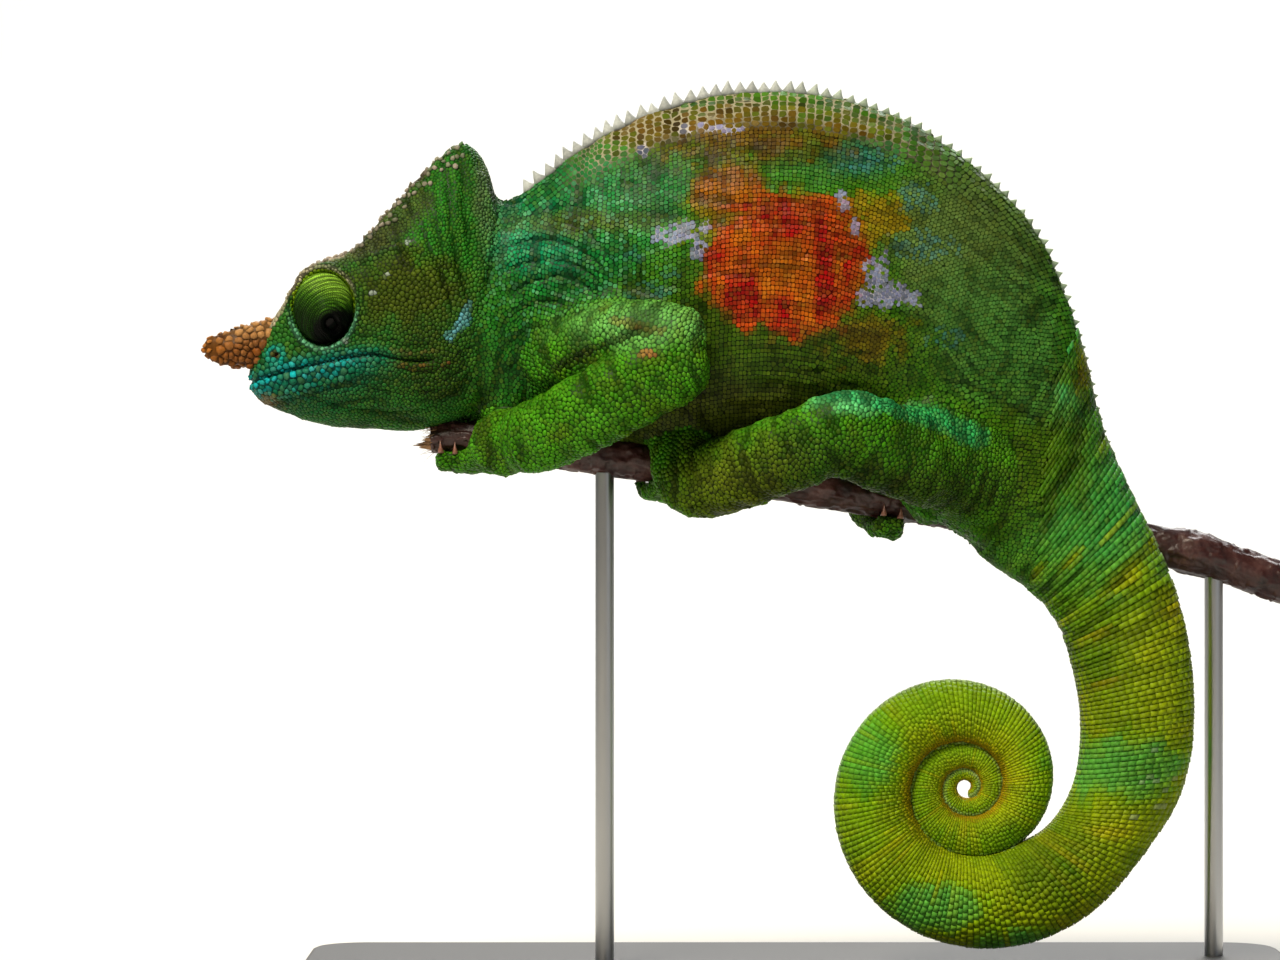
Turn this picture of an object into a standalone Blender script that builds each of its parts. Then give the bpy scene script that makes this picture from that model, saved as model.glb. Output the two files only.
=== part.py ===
# A crested Parson's chameleon, life size, gripping a cut length of branch on a plain display stand.
# The head points to -X, the tail to +X and the animal's left side to -Y. Sizes are in millimetres.

import math
import random

import bpy
import bmesh
import numpy as np
from mathutils import Vector

MM = 0.001
GAP = 0.30
EAST = Vector((1, 0, 0))
DEPTH = Vector((0, 1, 0))
UP = Vector((0, 0, 1))

# Stand
BASE_LENGTH = 210.0
BASE_WIDTH = 96.0
BASE_THICKNESS = 8.0
BASE_CORNER = 12.0
BASE_EDGE = 1.2
ROD_RADIUS = 2.0
ROD_SIDES = 20
ROD_FRONT_X = -41.0
ROD_REAR_X = 89.0

# Branch: centre x, y, z and radius, from the broken tip to the cut end
BRANCH = [
    (-77.5, 0.0, 118.2, 2.7),
    (-69.5, 0.0, 118.5, 3.4),
    (-54.5, 0.0, 116.5, 4.0),
    (-40.0, 0.0, 114.5, 4.1),
    (-21.0, 0.0, 112.0, 4.1),
    (0.0, 2.0, 108.5, 4.1),
    (21.5, 9.0, 105.0, 4.1),
    (43.0, 15.0, 101.5, 4.1),
    (64.5, 17.0, 98.0, 4.1),
    (86.0, 17.5, 93.5, 4.3),
    (107.5, 19.0, 86.0, 4.2),
]
BRANCH_SIDES = 10
BRANCH_RINGS = 28
BARK_ROUGHNESS = 0.05
KNOT_AT = 8.9
KNOT_SWELL = 0.9
KNOT_SPREAD = 0.16
SPLINTERS = 6
SPLINTER_LENGTH = 3.6

# Trunk from the neck to the start of the tail's coil, as pairs of points on the outline:
# back x, back z, belly x, belly z, half width
TRUNK = [
    (-63.5, 168.0, -69.0, 124.0, 9.6),
    (-56.5, 171.5, -62.0, 123.5, 10.5),
    (-46.0, 179.5, -50.5, 122.0, 13.0),
    (-33.5, 186.0, -34.5, 120.0, 16.0),
    (-19.0, 190.5, -20.0, 118.5, 18.0),
    (-4.0, 191.5, -7.5, 117.5, 18.5),
    (10.5, 189.5, 3.0, 116.5, 18.0),
    (25.0, 184.0, 12.5, 113.0, 16.5),
    (40.0, 173.0, 19.5, 107.5, 14.5),
    (50.5, 161.0, 25.0, 100.5, 13.0),
    (56.5, 147.0, 31.5, 97.5, 12.0),
    (60.5, 132.5, 37.5, 93.5, 11.5),
    (64.0, 119.0, 43.5, 89.5, 11.0),
    (69.5, 107.0, 49.5, 85.5, 10.4),
    (75.0, 95.5, 54.0, 80.0, 9.9),
    (79.5, 83.5, 56.5, 73.0, 9.4),
    (82.0, 71.0, 58.5, 64.5, 9.0),
    (82.5, 59.0, 59.0, 56.0, 8.7),
    (81.5, 50.0, 58.0, 47.5, 8.3),
    (78.0, 40.0, 55.0, 40.5, 8.0),
    (68.5, 26.5, 51.0, 36.0, 7.7),
]
# The back narrows to a keel until this row; the section is egg-shaped, wider at the belly
KEEL_END = 13.0
KEEL_FADE = 3.0
KEEL = 0.45
BELLY_FULLNESS = 0.12
EGG = 0.10

# Tail coil: a logarithmic spiral whose inner edge lies on the next turn's outer edge
COIL_X = 34.8
COIL_Z = 45.2
COIL_RADIUS = 33.5
COIL_DECAY = 0.82
COIL_STEPS = 24
COIL_START = -3
COIL_TURNS = 2.96
COIL_CLEAR = 0.42
COIL_OPENING = 5.5
COIL_FLATNESS = 0.39
COIL_TIP = 0.10

# The trunk's lengths: node name, first and last row of the outline, points in a ring, rings
FIRST_COIL_ROW = len(TRUNK)
LENGTHS = [
    ("neck", 0.0, 1.6, 20, 5),
    ("torso_front", 1.6, 4.5, 20, 9),
    ("torso_rear", 4.5, 8.0, 20, 11),
    ("pelvis", 8.0, 11.6, 20, 10),
    ("tail_base", 11.6, 14.6, 18, 8),
    ("tail_drop", 14.6, 18.4, 16, 8),
    ("tail_bend", 18.4, FIRST_COIL_ROW + 5.0, 14, 9),
    ("tail_coil_outer", FIRST_COIL_ROW + 5.0, FIRST_COIL_ROW + 21.0, 12, 16),
    ("tail_coil_middle", FIRST_COIL_ROW + 21.0, FIRST_COIL_ROW + 41.0, 10, 20),
    ("tail_coil_inner", FIRST_COIL_ROW + 41.0, FIRST_COIL_ROW + 71.0, 8, 24),
]

# Crest of small cones along the back, smaller on the tail
CREST_SPACING = 2.4
CREST_SPACING_TAIL = 3.4
CREST_HEIGHT_FRONT = 2.3
CREST_HEIGHT_REAR = 1.0
CREST_HEIGHT_TAIL = 0.7
CREST_FIRST_ROW = 0.9
CREST_FADE_ROW = 5.0
CREST_LAST_ROW = FIRST_COIL_ROW + 4.0
CREST_ROOT = 0.9
CREST_FADE_LENGTH = 1.5
CREST_CUT_CLEAR = 1.5
CREST_VARIATION = (0.8, 1.12)
CREST_LEAN = (-0.1, 0.25)
CONE_HALF_LENGTH = 1.25
CONE_HALF_WIDTH = 1.0
CONE_SIDES = 5

# Head, from the front of the snout to the rear edge of the casque:
# top x, top z, bottom x, bottom z, height of the mouth line,
# then half widths at the jaw, the mouth, the cheek, the brow and the crown
HEAD = [
    (-115.5, 134.8, -115.5, 128.5, 130.4, 2.4, 3.0, 3.0, 2.6, 1.8),
    (-114.2, 138.0, -114.2, 126.8, 130.8, 4.2, 4.9, 5.0, 4.6, 3.4),
    (-112.1, 140.9, -112.1, 124.9, 131.5, 5.2, 6.0, 6.2, 5.8, 4.6),
    (-108.2, 146.8, -108.2, 123.5, 132.7, 6.4, 7.6, 7.8, 7.2, 6.0),
    (-103.9, 153.5, -103.9, 122.0, 133.6, 7.4, 8.8, 9.0, 8.4, 7.2),
    (-99.8, 155.6, -99.1, 120.7, 134.6, 8.2, 9.6, 9.4, 8.8, 7.4),
    (-94.5, 157.3, -94.5, 120.1, 135.4, 8.8, 10.2, 10.2, 9.2, 6.6),
    (-88.2, 163.8, -89.0, 119.9, 135.9, 9.2, 10.8, 11.2, 9.4, 5.0),
    (-83.0, 170.1, -84.0, 119.9, 134.8, 9.4, 11.0, 11.8, 9.4, 3.8),
    (-77.7, 175.6, -78.8, 120.1, 134.2, 9.2, 11.0, 12.0, 9.2, 3.2),
    (-72.5, 179.8, -74.8, 120.7, 133.6, 8.8, 10.8, 11.8, 9.0, 2.9),
    (-68.9, 180.0, -72.2, 122.0, 132.7, 8.6, 10.6, 11.4, 8.8, 2.9),
    (-65.5, 175.3, -70.3, 123.1, 132.3, 8.4, 10.2, 10.8, 8.4, 3.2),
    (-63.9, 170.1, -69.6, 123.9, 131.9, 8.0, 9.8, 10.2, 8.2, 3.6),
]
HEAD_RINGS = 21
# Heights of the widths: the jaw as a share of the height of the mouth,
# the cheek, brow and crown as shares of what is above it
JAW_LEVEL = 0.45
UPPER_LEVELS = (0.35, 0.70, 0.96)
CHIN_LEVELS = (0.12, 0.40, 0.72)
FACE_LEVELS = (0.16, 0.34, 0.52, 0.70, 0.87)
CROWN_LEVEL = 0.975
LIP_REACH = 1.0
LIP_SWELL = 0.35
MOUTH_DEPTH = 0.45
MOUTH_FADE = 4.0
MOUTH_CORNER = (-76.8, 134.0)
JAW_HINGE = (-72.6, 131.0)
JAW_REAR = (-69.0, 118.0)
CASQUE_CUT_FRONT = (-100.0, 158.3)
CASQUE_CUT_REAR = (-55.0, 157.2)
CUT_REACH = 30.0

# Eyes: turrets of fused lids that bulge from their sockets
EYE_X = -99.6
EYE_Y = 7.3
EYE_Z = 145.4
EYE_RADII = (6.5, 6.6, 7.6)
EYE_SEGMENTS = 13
EYE_RINGS = 8
SOCKET_CLEAR = 0.35
ORBIT_RIM = 0.85
ORBIT_RIM_OUT = (0.5, 0.4)
ORBIT_STEPS = 14
ORBIT_SIDES = 4
PUPIL_OFFSET = (2.6, 4.6)
PUPIL_RADIUS = 1.7

# Nostrils and the paired warty horns of the snout
NOSTRIL = (-110.0, 6.6, 136.0)
NOSTRIL_RADIUS = 0.9
HORN = [
    (-110.8, 3.4, 138.0, 4.4, 2.0),
    (-115.0, 3.7, 137.6, 4.5, 2.0),
    (-119.0, 4.0, 137.2, 3.8, 1.9),
    (-122.5, 4.3, 137.0, 2.9, 1.6),
    (-124.9, 4.5, 137.4, 1.5, 1.0),
]
HORN_SIDES = 8
HORN_RINGS = 6
HORN_ROUGHNESS = 0.10
HORN_WARTS = 5
WARTS_FIRST = 0.7
WARTS_LENGTH = 3.1
WART_RADIUS = 1.15

# Limbs: centre x, y, z, then half thickness in the side view and across it.
# y is the distance out from the body's middle plane
UPPER_ARM = [
    (-55.5, 4.0, 131.0, 8.5, 6.0),
    (-48.0, 12.0, 136.0, 7.2, 6.0),
    (-39.5, 18.0, 139.5, 6.6, 5.6),
    (-31.5, 22.5, 140.0, 6.8, 5.6),
    (-24.5, 24.8, 137.0, 8.0, 5.8),
    (-20.5, 25.0, 135.5, 8.2, 5.6),
]
FOREARM = [
    (-19.5, 25.5, 135.5, 8.0, 5.6),
    (-26.0, 25.0, 133.4, 8.4, 6.0),
    (-33.5, 24.0, 129.5, 8.4, 6.0),
    (-42.5, 21.5, 124.5, 8.3, 6.2),
    (-50.5, 17.5, 120.5, 7.9, 6.0),
    (-57.0, 13.5, 118.0, 7.6, 5.6),
]
FAR_UPPER_ARM = [
    (-55.5, 4.0, 131.0, 8.5, 6.0),
    (-49.0, 12.0, 135.0, 7.2, 6.0),
    (-42.0, 18.0, 137.5, 6.6, 5.6),
    (-35.0, 22.5, 137.5, 6.8, 5.6),
    (-29.5, 24.5, 134.5, 7.6, 5.8),
]
FAR_FOREARM = [
    (-29.0, 25.0, 133.0, 7.4, 5.6),
    (-38.0, 24.5, 128.0, 8.4, 6.0),
    (-48.0, 22.5, 123.5, 8.2, 6.2),
    (-57.5, 18.5, 120.5, 7.4, 5.8),
    (-64.0, 14.0, 119.0, 6.6, 5.0),
]
THIGH = [
    (45.0, 5.0, 109.5, 10.0, 6.5),
    (34.0, 11.0, 111.5, 10.2, 6.8),
    (23.0, 17.0, 114.5, 9.8, 6.6),
    (12.5, 22.0, 118.0, 9.6, 6.4),
    (8.0, 24.0, 120.5, 8.4, 6.0),
]
SHANK = [
    (9.0, 24.5, 121.0, 8.2, 5.8),
    (-1.0, 23.0, 116.0, 8.4, 6.2),
    (-8.0, 19.5, 113.5, 8.2, 6.2),
    (-16.0, 14.5, 110.5, 8.0, 6.0),
    (-20.0, 12.0, 109.6, 7.6, 5.6),
]
FAR_THIGH = [
    (45.0, 5.0, 109.5, 10.0, 6.5),
    (36.0, 12.5, 112.5, 10.0, 6.8),
    (27.0, 19.0, 116.5, 9.4, 6.6),
    (18.0, 24.5, 121.0, 8.8, 6.2),
    (12.0, 27.5, 124.0, 8.0, 5.8),
]
FAR_SHANK = [
    (10.5, 29.0, 124.5, 7.6, 5.6),
    (12.0, 28.5, 118.0, 7.8, 5.8),
    (15.0, 26.0, 112.0, 7.4, 5.8),
    (18.5, 22.0, 107.0, 6.8, 5.4),
    (19.5, 19.5, 105.5, 6.4, 5.2),
]
LIMB_SIDES = 11
LIMB_RINGS = 7
ROUNDING = (0.12, 0.42, 0.78)
END_LENGTH = 0.75

# Feet: two bundles of toes that close round the branch like tongs.
# row of the branch, side, palm size, then for the toes above and for those below:
# how many, how far round in degrees they reach, how far forward they lean, their middle's offset
FEET = {
    "forefoot_left": (1.55, -1, 1.0, (2, 84, 1.5, -0.5), (3, 96, 3.0, -1.5)),
    "forefoot_right": (1.02, 1, 0.8, (2, 128, 0.5, -0.8), (3, 146, 4.0, -2.2)),
    "hindfoot_left": (3.85, -1, 1.05, (3, 135, 4.0, -1.5), (2, 135, 6.0, -1.5)),
    "hindfoot_right": (5.95, 1, 1.0, (3, 120, 2.0, 0.0), (2, 150, 2.0, 0.0)),
}
TOE_RADIUS = 2.6
TOE_PITCH = 3.8
TOE_START = 8.0
TOE_SIDES = 6
TOE_RINGS = 4
TOE_TAPER = 0.42
PALM_RADII = (7.6, 4.2, 7.4)
CLAW_LENGTH = 3.0
CLAW_ROOT = 0.8
CLAW_HOOK = 0.2
CLAW_RADIUS = 0.8

# Colours as sRGB, with roughness
SKIN = (0.16, 0.42, 0.15)
FINISHES = {
    "neck": ((0.14, 0.42, 0.24), 0.55),
    "torso_front": ((0.17, 0.38, 0.17), 0.55),
    "torso_rear": ((0.36, 0.34, 0.13), 0.55),
    "pelvis": ((0.15, 0.40, 0.15), 0.55),
    "tail_base": ((0.30, 0.46, 0.12), 0.55),
    "tail_drop": ((0.34, 0.47, 0.11), 0.55),
    "tail_bend": ((0.22, 0.44, 0.15), 0.55),
    "tail_coil_outer": ((0.38, 0.48, 0.12), 0.55),
    "tail_coil_middle": ((0.42, 0.50, 0.12), 0.55),
    "tail_coil_inner": ((0.44, 0.50, 0.14), 0.55),
    "head": ((0.15, 0.36, 0.20), 0.5),
    "lower_jaw": ((0.12, 0.42, 0.32), 0.5),
    "casque": ((0.18, 0.36, 0.18), 0.5),
    "eye": ((0.36, 0.50, 0.10), 0.4),
    "horn": ((0.66, 0.42, 0.20), 0.6),
    "perch": ((0.20, 0.13, 0.12), 0.85),
    "stand": ((0.10, 0.10, 0.10), 0.4),
    "rod": ((0.55, 0.56, 0.57), 0.3),
}


def clear_scene():
    for thing in list(bpy.data.objects):
        bpy.data.objects.remove(thing, do_unlink=True)


def linear(value):
    return value / 12.92 if value <= 0.04045 else ((value + 0.055) / 1.055) ** 2.4


def finish(thing, key, metallic=0.0):
    """Give an object a material of its own."""
    colour, roughness = FINISHES.get(key, (SKIN, 0.55))
    material = bpy.data.materials.new(thing.name)
    material.use_nodes = True
    shader = material.node_tree.nodes["Principled BSDF"]
    shader.inputs["Base Color"].default_value = [linear(c) for c in colour] + [1.0]
    shader.inputs["Roughness"].default_value = roughness
    shader.inputs["Metallic"].default_value = metallic
    thing.data.materials.clear()
    thing.data.materials.append(material)


def along(rows, t):
    """The Catmull-Rom value of a table of rows at the fractional row number t."""
    table = np.asarray(rows, float)
    last = len(table) - 1
    i = max(0, min(int(math.floor(t)), last - 1))
    f = t - i
    p1, p2 = table[i], table[i + 1]
    p0 = table[i - 1] if i > 0 else 2 * p1 - p2
    p3 = table[i + 2] if i + 2 <= last else 2 * p2 - p1
    linear_term = (p2 - p0) * f
    square_term = (2 * p0 - 5 * p1 + 4 * p2 - p3) * f ** 2
    cube_term = (3 * p1 - p0 - 3 * p2 + p3) * f ** 3
    return 0.5 * (2 * p1 + linear_term + square_term + cube_term)


def solid(name, points, faces):
    """A closed mesh object, triangulated, with its faces pointing out."""
    mesh = bpy.data.meshes.new(name)
    body = bmesh.new()
    verts = [body.verts.new(Vector(p) * MM) for p in points]
    for face in faces:
        body.faces.new([verts[i] for i in face])
    bmesh.ops.recalc_face_normals(body, faces=body.faces[:])
    if body.calc_volume(signed=True) < 0:
        bmesh.ops.reverse_faces(body, faces=body.faces[:])
    bmesh.ops.triangulate(body, faces=body.faces[:])
    body.to_mesh(mesh)
    body.free()
    thing = bpy.data.objects.new(name, mesh)
    bpy.context.scene.collection.objects.link(thing)
    return thing


def loft(name, rings):
    """A closed solid through rings of equal point counts, with flat ends."""
    count = len(rings[0])
    points = [p for ring in rings for p in ring]
    faces = [tuple(range(count - 1, -1, -1))]
    for r in range(len(rings) - 1):
        for k in range(count):
            a = r * count + k
            b = r * count + (k + 1) % count
            faces.append((a, b, b + count, a + count))
    first = (len(rings) - 1) * count
    faces.append(tuple(range(first, first + count)))
    return solid(name, points, faces)


def ball(name, centre, radii, segments=12, rings=8):
    """An ellipsoid with its poles on Z."""
    points = [Vector(centre) + UP * radii[2]]
    for r in range(1, rings):
        a = math.pi * r / rings
        for s in range(segments):
            b = 2 * math.pi * s / segments
            offset = (radii[0] * math.sin(a) * math.cos(b), radii[1] * math.sin(a) * math.sin(b),
                      radii[2] * math.cos(a))
            points.append(Vector(centre) + Vector(offset))
    points.append(Vector(centre) - UP * radii[2])
    faces = [(0, 1 + s, 1 + (s + 1) % segments) for s in range(segments)]
    for r in range(rings - 2):
        for s in range(segments):
            a = 1 + r * segments + s
            b = 1 + r * segments + (s + 1) % segments
            faces.append((a, a + segments, b + segments, b))
    low = 1 + (rings - 2) * segments
    faces += [(len(points) - 1, low + (s + 1) % segments, low + s) for s in range(segments)]
    return solid(name, points, faces)


def spike(name, root, tip, along_axis, half_length, half_width, sides=5):
    """A cone with an oval root."""
    axis = (Vector(tip) - Vector(root)).normalized()
    first = (along_axis - axis * along_axis.dot(axis)).normalized()
    second = axis.cross(first)
    points = []
    for k in range(sides):
        a = 2 * math.pi * k / sides
        points.append(Vector(root) + first * half_length * math.cos(a) + second * half_width * math.sin(a))
    points.append(Vector(tip))
    faces = [tuple(range(sides))] + [((k + 1) % sides, k, sides) for k in range(sides)]
    return solid(name, points, faces)


def drop(things):
    for thing in things:
        bpy.data.objects.remove(thing, do_unlink=True)


def islands(mesh):
    """Groups of faces of a mesh that hang together."""
    links = {}
    for face in mesh.faces:
        links[face] = None
    groups = []
    for face in mesh.faces:
        if links[face] is not None:
            continue
        group = [face]
        links[face] = len(groups)
        for member in group:
            for edge in member.edges:
                for other in edge.link_faces:
                    if links[other] is None:
                        links[other] = len(groups)
                        group.append(other)
        groups.append(group)
    return groups


def group_volume(group):
    return sum(f.verts[0].co.dot(f.verts[1].co.cross(f.verts[2].co)) for f in group) / 6


def keep_largest(thing):
    """Keep only the largest closed surface of a mesh."""
    body = bmesh.new()
    body.from_mesh(thing.data)
    bmesh.ops.remove_doubles(body, verts=body.verts[:], dist=0.000002)
    bmesh.ops.dissolve_degenerate(body, edges=body.edges[:], dist=0.000002)
    bmesh.ops.triangulate(body, faces=body.faces[:])
    groups = sorted(islands(body), key=lambda g: -abs(group_volume(g)))
    spare = [face for group in groups[1:] for face in group]
    bmesh.ops.delete(body, geom=spare, context="FACES")
    body.to_mesh(thing.data)
    body.free()
    return thing


def combine(thing, others, operation, solver="EXACT"):
    """Apply one Boolean with all the other objects, and remove them."""
    if not others:
        return thing
    group = bpy.data.collections.new("operands")
    bpy.context.scene.collection.children.link(group)
    for other in others:
        group.objects.link(other)
    modifier = thing.modifiers.new("combine", "BOOLEAN")
    modifier.operation = operation
    modifier.solver = solver
    modifier.operand_type = "COLLECTION"
    modifier.collection = group
    bpy.context.view_layer.update()
    shape = thing.evaluated_get(bpy.context.evaluated_depsgraph_get())
    result = bpy.data.meshes.new_from_object(shape)
    thing.modifiers.remove(modifier)
    thing.data = result
    drop(others)
    bpy.data.collections.remove(group)
    return thing


def grown(thing, distance, name="grown"):
    """A copy of a solid whose surface lies a set distance outside it."""
    body = bmesh.new()
    body.from_mesh(thing.data)
    body.normal_update()
    moves = [(v, v.normal * min(v.calc_shell_factor(), 2.0)) for v in body.verts]
    for vert, move in moves:
        vert.co += move * distance * MM
    mesh = bpy.data.meshes.new(name)
    body.to_mesh(mesh)
    body.free()
    copy = bpy.data.objects.new(name, mesh)
    bpy.context.scene.collection.objects.link(copy)
    return copy


def clear_of(thing, neighbours, solver="EXACT"):
    """Cut a solid back to the standing gap from its neighbours."""
    for neighbour in neighbours:
        combine(thing, [grown(neighbour, GAP)], "DIFFERENCE", solver)
    return keep_largest(thing)


# Trunk

def coil_outer(turn):
    return COIL_RADIUS * math.exp(-COIL_DECAY * turn)


def coil_row(step):
    """One pair of outline points of the coil, in the trunk table's form."""
    turn = step / COIL_STEPS
    outer = coil_outer(turn)
    inner = coil_outer(turn + 1) + COIL_CLEAR
    if turn < 0:
        inner += COIL_OPENING * (-4 * turn) ** 3.2
    left = COIL_TURNS - turn
    if left < COIL_TIP:
        shrink = math.sqrt(max(0.0, 1 - (1 - left / COIL_TIP) ** 2))
        middle = (outer + inner) / 2
        outer = middle + (outer - middle) * shrink
        inner = middle + (inner - middle) * shrink
    angle = -math.pi / 2 - 2 * math.pi * turn
    across = Vector((math.cos(angle), 0, math.sin(angle)))
    back = Vector((COIL_X, 0, COIL_Z)) + across * outer
    belly = Vector((COIL_X, 0, COIL_Z)) + across * inner
    return (back.x, back.z, belly.x, belly.z, (outer - inner) * COIL_FLATNESS)


COIL = [coil_row(step) for step in range(COIL_START, int(COIL_TURNS * COIL_STEPS) + 1)]
OUTLINE = TRUNK + COIL


def trunk_frame(t):
    """Back point, belly point, half width and the direction of the trunk at row t."""
    row = along(OUTLINE, t)
    back = Vector((row[0], 0, row[1]))
    belly = Vector((row[2], 0, row[3]))
    towards = (back - belly).normalized().cross(DEPTH)
    return back, belly, row[4], -towards


def trunk_ring(t, sides, shift=0.0):
    """A flat ring of the trunk. The back is narrow where it carries the crest."""
    back, belly, half_width, towards = trunk_frame(t)
    centre = (back + belly) / 2
    half = (back - belly) / 2
    keel = KEEL * max(0.0, min(1.0, (KEEL_END - t) / KEEL_FADE))
    ring = []
    for k in range(sides):
        a = 2 * math.pi * k / sides
        rise = math.cos(a)
        side = math.sin(a)
        narrow = 1 + keel * max(0.0, rise) - BELLY_FULLNESS * max(0.0, -rise)
        width = math.copysign(abs(side) ** narrow, side) * half_width * (1 - EGG * rise)
        ring.append(centre + half * rise + DEPTH * width + towards * shift)
    return ring


def crest_height(t):
    if t < CREST_FADE_ROW:
        return CREST_HEIGHT_FRONT
    fade = min(1.0, (t - CREST_FADE_ROW) / CREST_FADE_LENGTH)
    if t < KEEL_END:
        return CREST_HEIGHT_FRONT + (CREST_HEIGHT_REAR - CREST_HEIGHT_FRONT) * fade
    return CREST_HEIGHT_TAIL


def crest_places():
    """Rows of the trunk table at even distances along the back."""
    step = 0.01
    places = []
    walked = 0.0
    t = CREST_FIRST_ROW
    last = trunk_frame(t)[0]
    while t < CREST_LAST_ROW:
        t += step
        point = trunk_frame(t)[0]
        walked += (point - last).length
        last = point
        if walked > (CREST_SPACING if t < KEEL_END else CREST_SPACING_TAIL):
            walked = 0.0
            places.append(t)
    return places


def crest_for(first, last):
    """The crest cones of one length of the trunk, clear of its two cuts."""
    draw = random.Random(int(first * 100))
    ends = [trunk_frame(first)[0], trunk_frame(last)[0]]
    cones = []
    for t in crest_places():
        if not first < t < last:
            continue
        back, belly, half_width, towards = trunk_frame(t)
        if min((back - end).length for end in ends) < CREST_CUT_CLEAR:
            continue
        outwards = (back - belly).normalized()
        height = crest_height(t) * draw.uniform(*CREST_VARIATION)
        lean = towards * draw.uniform(*CREST_LEAN)
        root = back - outwards * CREST_ROOT
        tip = back + outwards * height + lean * height
        sides = CONE_SIDES if t < KEEL_END else CONE_SIDES - 1
        cones.append(spike("cone", root, tip, towards, CONE_HALF_LENGTH, CONE_HALF_WIDTH, sides))
    return cones


def make_trunk():
    nodes = {}
    for name, first, last, sides, count in LENGTHS:
        rings = []
        for r in range(count + 1):
            t = first + (last - first) * r / count
            shift = GAP / 2 if r == 0 else (-GAP / 2 if r == count else 0.0)
            rings.append(trunk_ring(t, sides, shift))
        body = loft(name, rings)
        combine(body, crest_for(first, last), "UNION")
        nodes[name] = keep_largest(body)
        finish(body, name)
    return nodes


# Head

def head_width(row, height):
    """Half width of the head at a height between its bottom, 0, and its top, 1."""
    jaw, mouth, cheek, brow, crown = row[5:10]
    widths = (0.0, jaw, mouth, cheek, brow, crown, 0.0)
    share = (row[4] - row[3]) / (row[1] - row[3])
    levels = [0.0, share * JAW_LEVEL, share]
    levels += [share + (1 - share) * f for f in UPPER_LEVELS]
    levels += [1.0]
    for k in range(len(levels) - 1):
        if levels[k] <= height <= levels[k + 1]:
            f = (height - levels[k]) / (levels[k + 1] - levels[k])
            if k == 0:
                return widths[1] * math.sqrt(max(0.0, 1 - (1 - f) ** 2))
            return widths[k] + (widths[k + 1] - widths[k]) * f
    return 0.0


def head_ring(t, shift=0.0):
    """A ring of the head, with its lips and the line of its mouth."""
    row = along(HEAD, t)
    top = Vector((row[0], 0, row[1]))
    bottom = Vector((row[2], 0, row[3]))
    tall = row[1] - row[3]
    share = (row[4] - row[3]) / tall
    lip = min(LIP_REACH, 0.3 * (row[4] - row[3])) / tall
    open_mouth = max(0.0, min(1.0, (MOUTH_CORNER[0] - row[0]) / MOUTH_FADE + 1))
    levels = [(share * f, 0.0) for f in CHIN_LEVELS]
    levels += [(share - lip, LIP_SWELL), (share, -MOUTH_DEPTH), (share + lip, LIP_SWELL)]
    rest = share + lip
    levels += [(rest + (1 - rest) * f, 0.0) for f in FACE_LEVELS]
    levels += [(CROWN_LEVEL, 0.0)]
    left = []
    for height, swell in levels:
        width = head_width(row, height) + swell * open_mouth
        left.append(bottom.lerp(top, height) + DEPTH * width)
    right = [Vector((p.x, -p.y, p.z)) for p in reversed(left)]
    ring = [bottom] + left + [top] + right
    return [p + EAST * shift for p in ring]


def sheet_cutter(name, route, thickness, reach):
    """A thin wall across the head along a route in the side view."""
    route = [Vector((x, 0, z)) for x, z in route]
    upper = []
    lower = []
    for k, point in enumerate(route):
        before = route[max(0, k - 1)]
        after = route[min(len(route) - 1, k + 1)]
        normal = (after - before).normalized().cross(DEPTH)
        upper.append(point + normal * thickness / 2)
        lower.append(point - normal * thickness / 2)
    outline = upper + lower[::-1]
    rings = [[p + DEPTH * side for p in outline] for side in (-reach, reach)]
    return loft(name, rings)


def mouth_route():
    """From ahead of the snout along the mouth line to its corner, then down to the throat."""
    front = HEAD[0]
    route = [(front[0] - MOUTH_FADE, front[4] - MOUTH_DEPTH), (front[0], front[4])]
    for row in HEAD[1:]:
        if row[0] < MOUTH_CORNER[0] - 2:
            route.append((row[0], row[4]))
    return route + [MOUTH_CORNER, JAW_HINGE, JAW_REAR]


def eye_ball(side, clear=0.0):
    radii = [r + clear for r in EYE_RADII]
    return ball("eye", (EYE_X, side * EYE_Y, EYE_Z), radii, EYE_SEGMENTS, EYE_RINGS)


def orbit_rim(side):
    """A ridge that follows the edge of the socket."""
    points = []
    for s in range(ORBIT_STEPS):
        a = 2 * math.pi * s / ORBIT_STEPS
        outwards = Vector((math.cos(a), 0, math.sin(a)))
        x = EYE_X + (EYE_RADII[0] + ORBIT_RIM_OUT[0]) * math.cos(a)
        z = EYE_Z + (EYE_RADII[2] + ORBIT_RIM_OUT[1]) * math.sin(a)
        centre = Vector((x, side * face_width(x, z), z))
        for k in range(ORBIT_SIDES):
            b = 2 * math.pi * k / ORBIT_SIDES
            points.append(centre + (outwards * math.cos(b) + DEPTH * math.sin(b)) * ORBIT_RIM)
    faces = []
    for s in range(ORBIT_STEPS):
        for k in range(ORBIT_SIDES):
            a = s * ORBIT_SIDES + k
            b = s * ORBIT_SIDES + (k + 1) % ORBIT_SIDES
            c = ((s + 1) % ORBIT_STEPS) * ORBIT_SIDES
            faces.append((a, b, c + (k + 1) % ORBIT_SIDES, c + k))
    return solid("rim", points, faces)


def face_width(x, z):
    """Half width of the head under a point of the side view."""
    shares = [k / 88 for k in range(88)]
    nearest = min(shares, key=lambda share: abs(head_x(share, z) - x))
    row = along(HEAD, nearest * (len(HEAD) - 1))
    height = (z - row[3]) / (row[1] - row[3])
    return head_width(row, max(0.0, min(1.0, height)))


def head_x(share, z):
    """Where a ring of the head stands at a height of the side view."""
    row = along(HEAD, share * (len(HEAD) - 1))
    height = (z - row[3]) / (row[1] - row[3])
    return row[2] + (row[0] - row[2]) * height


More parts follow.
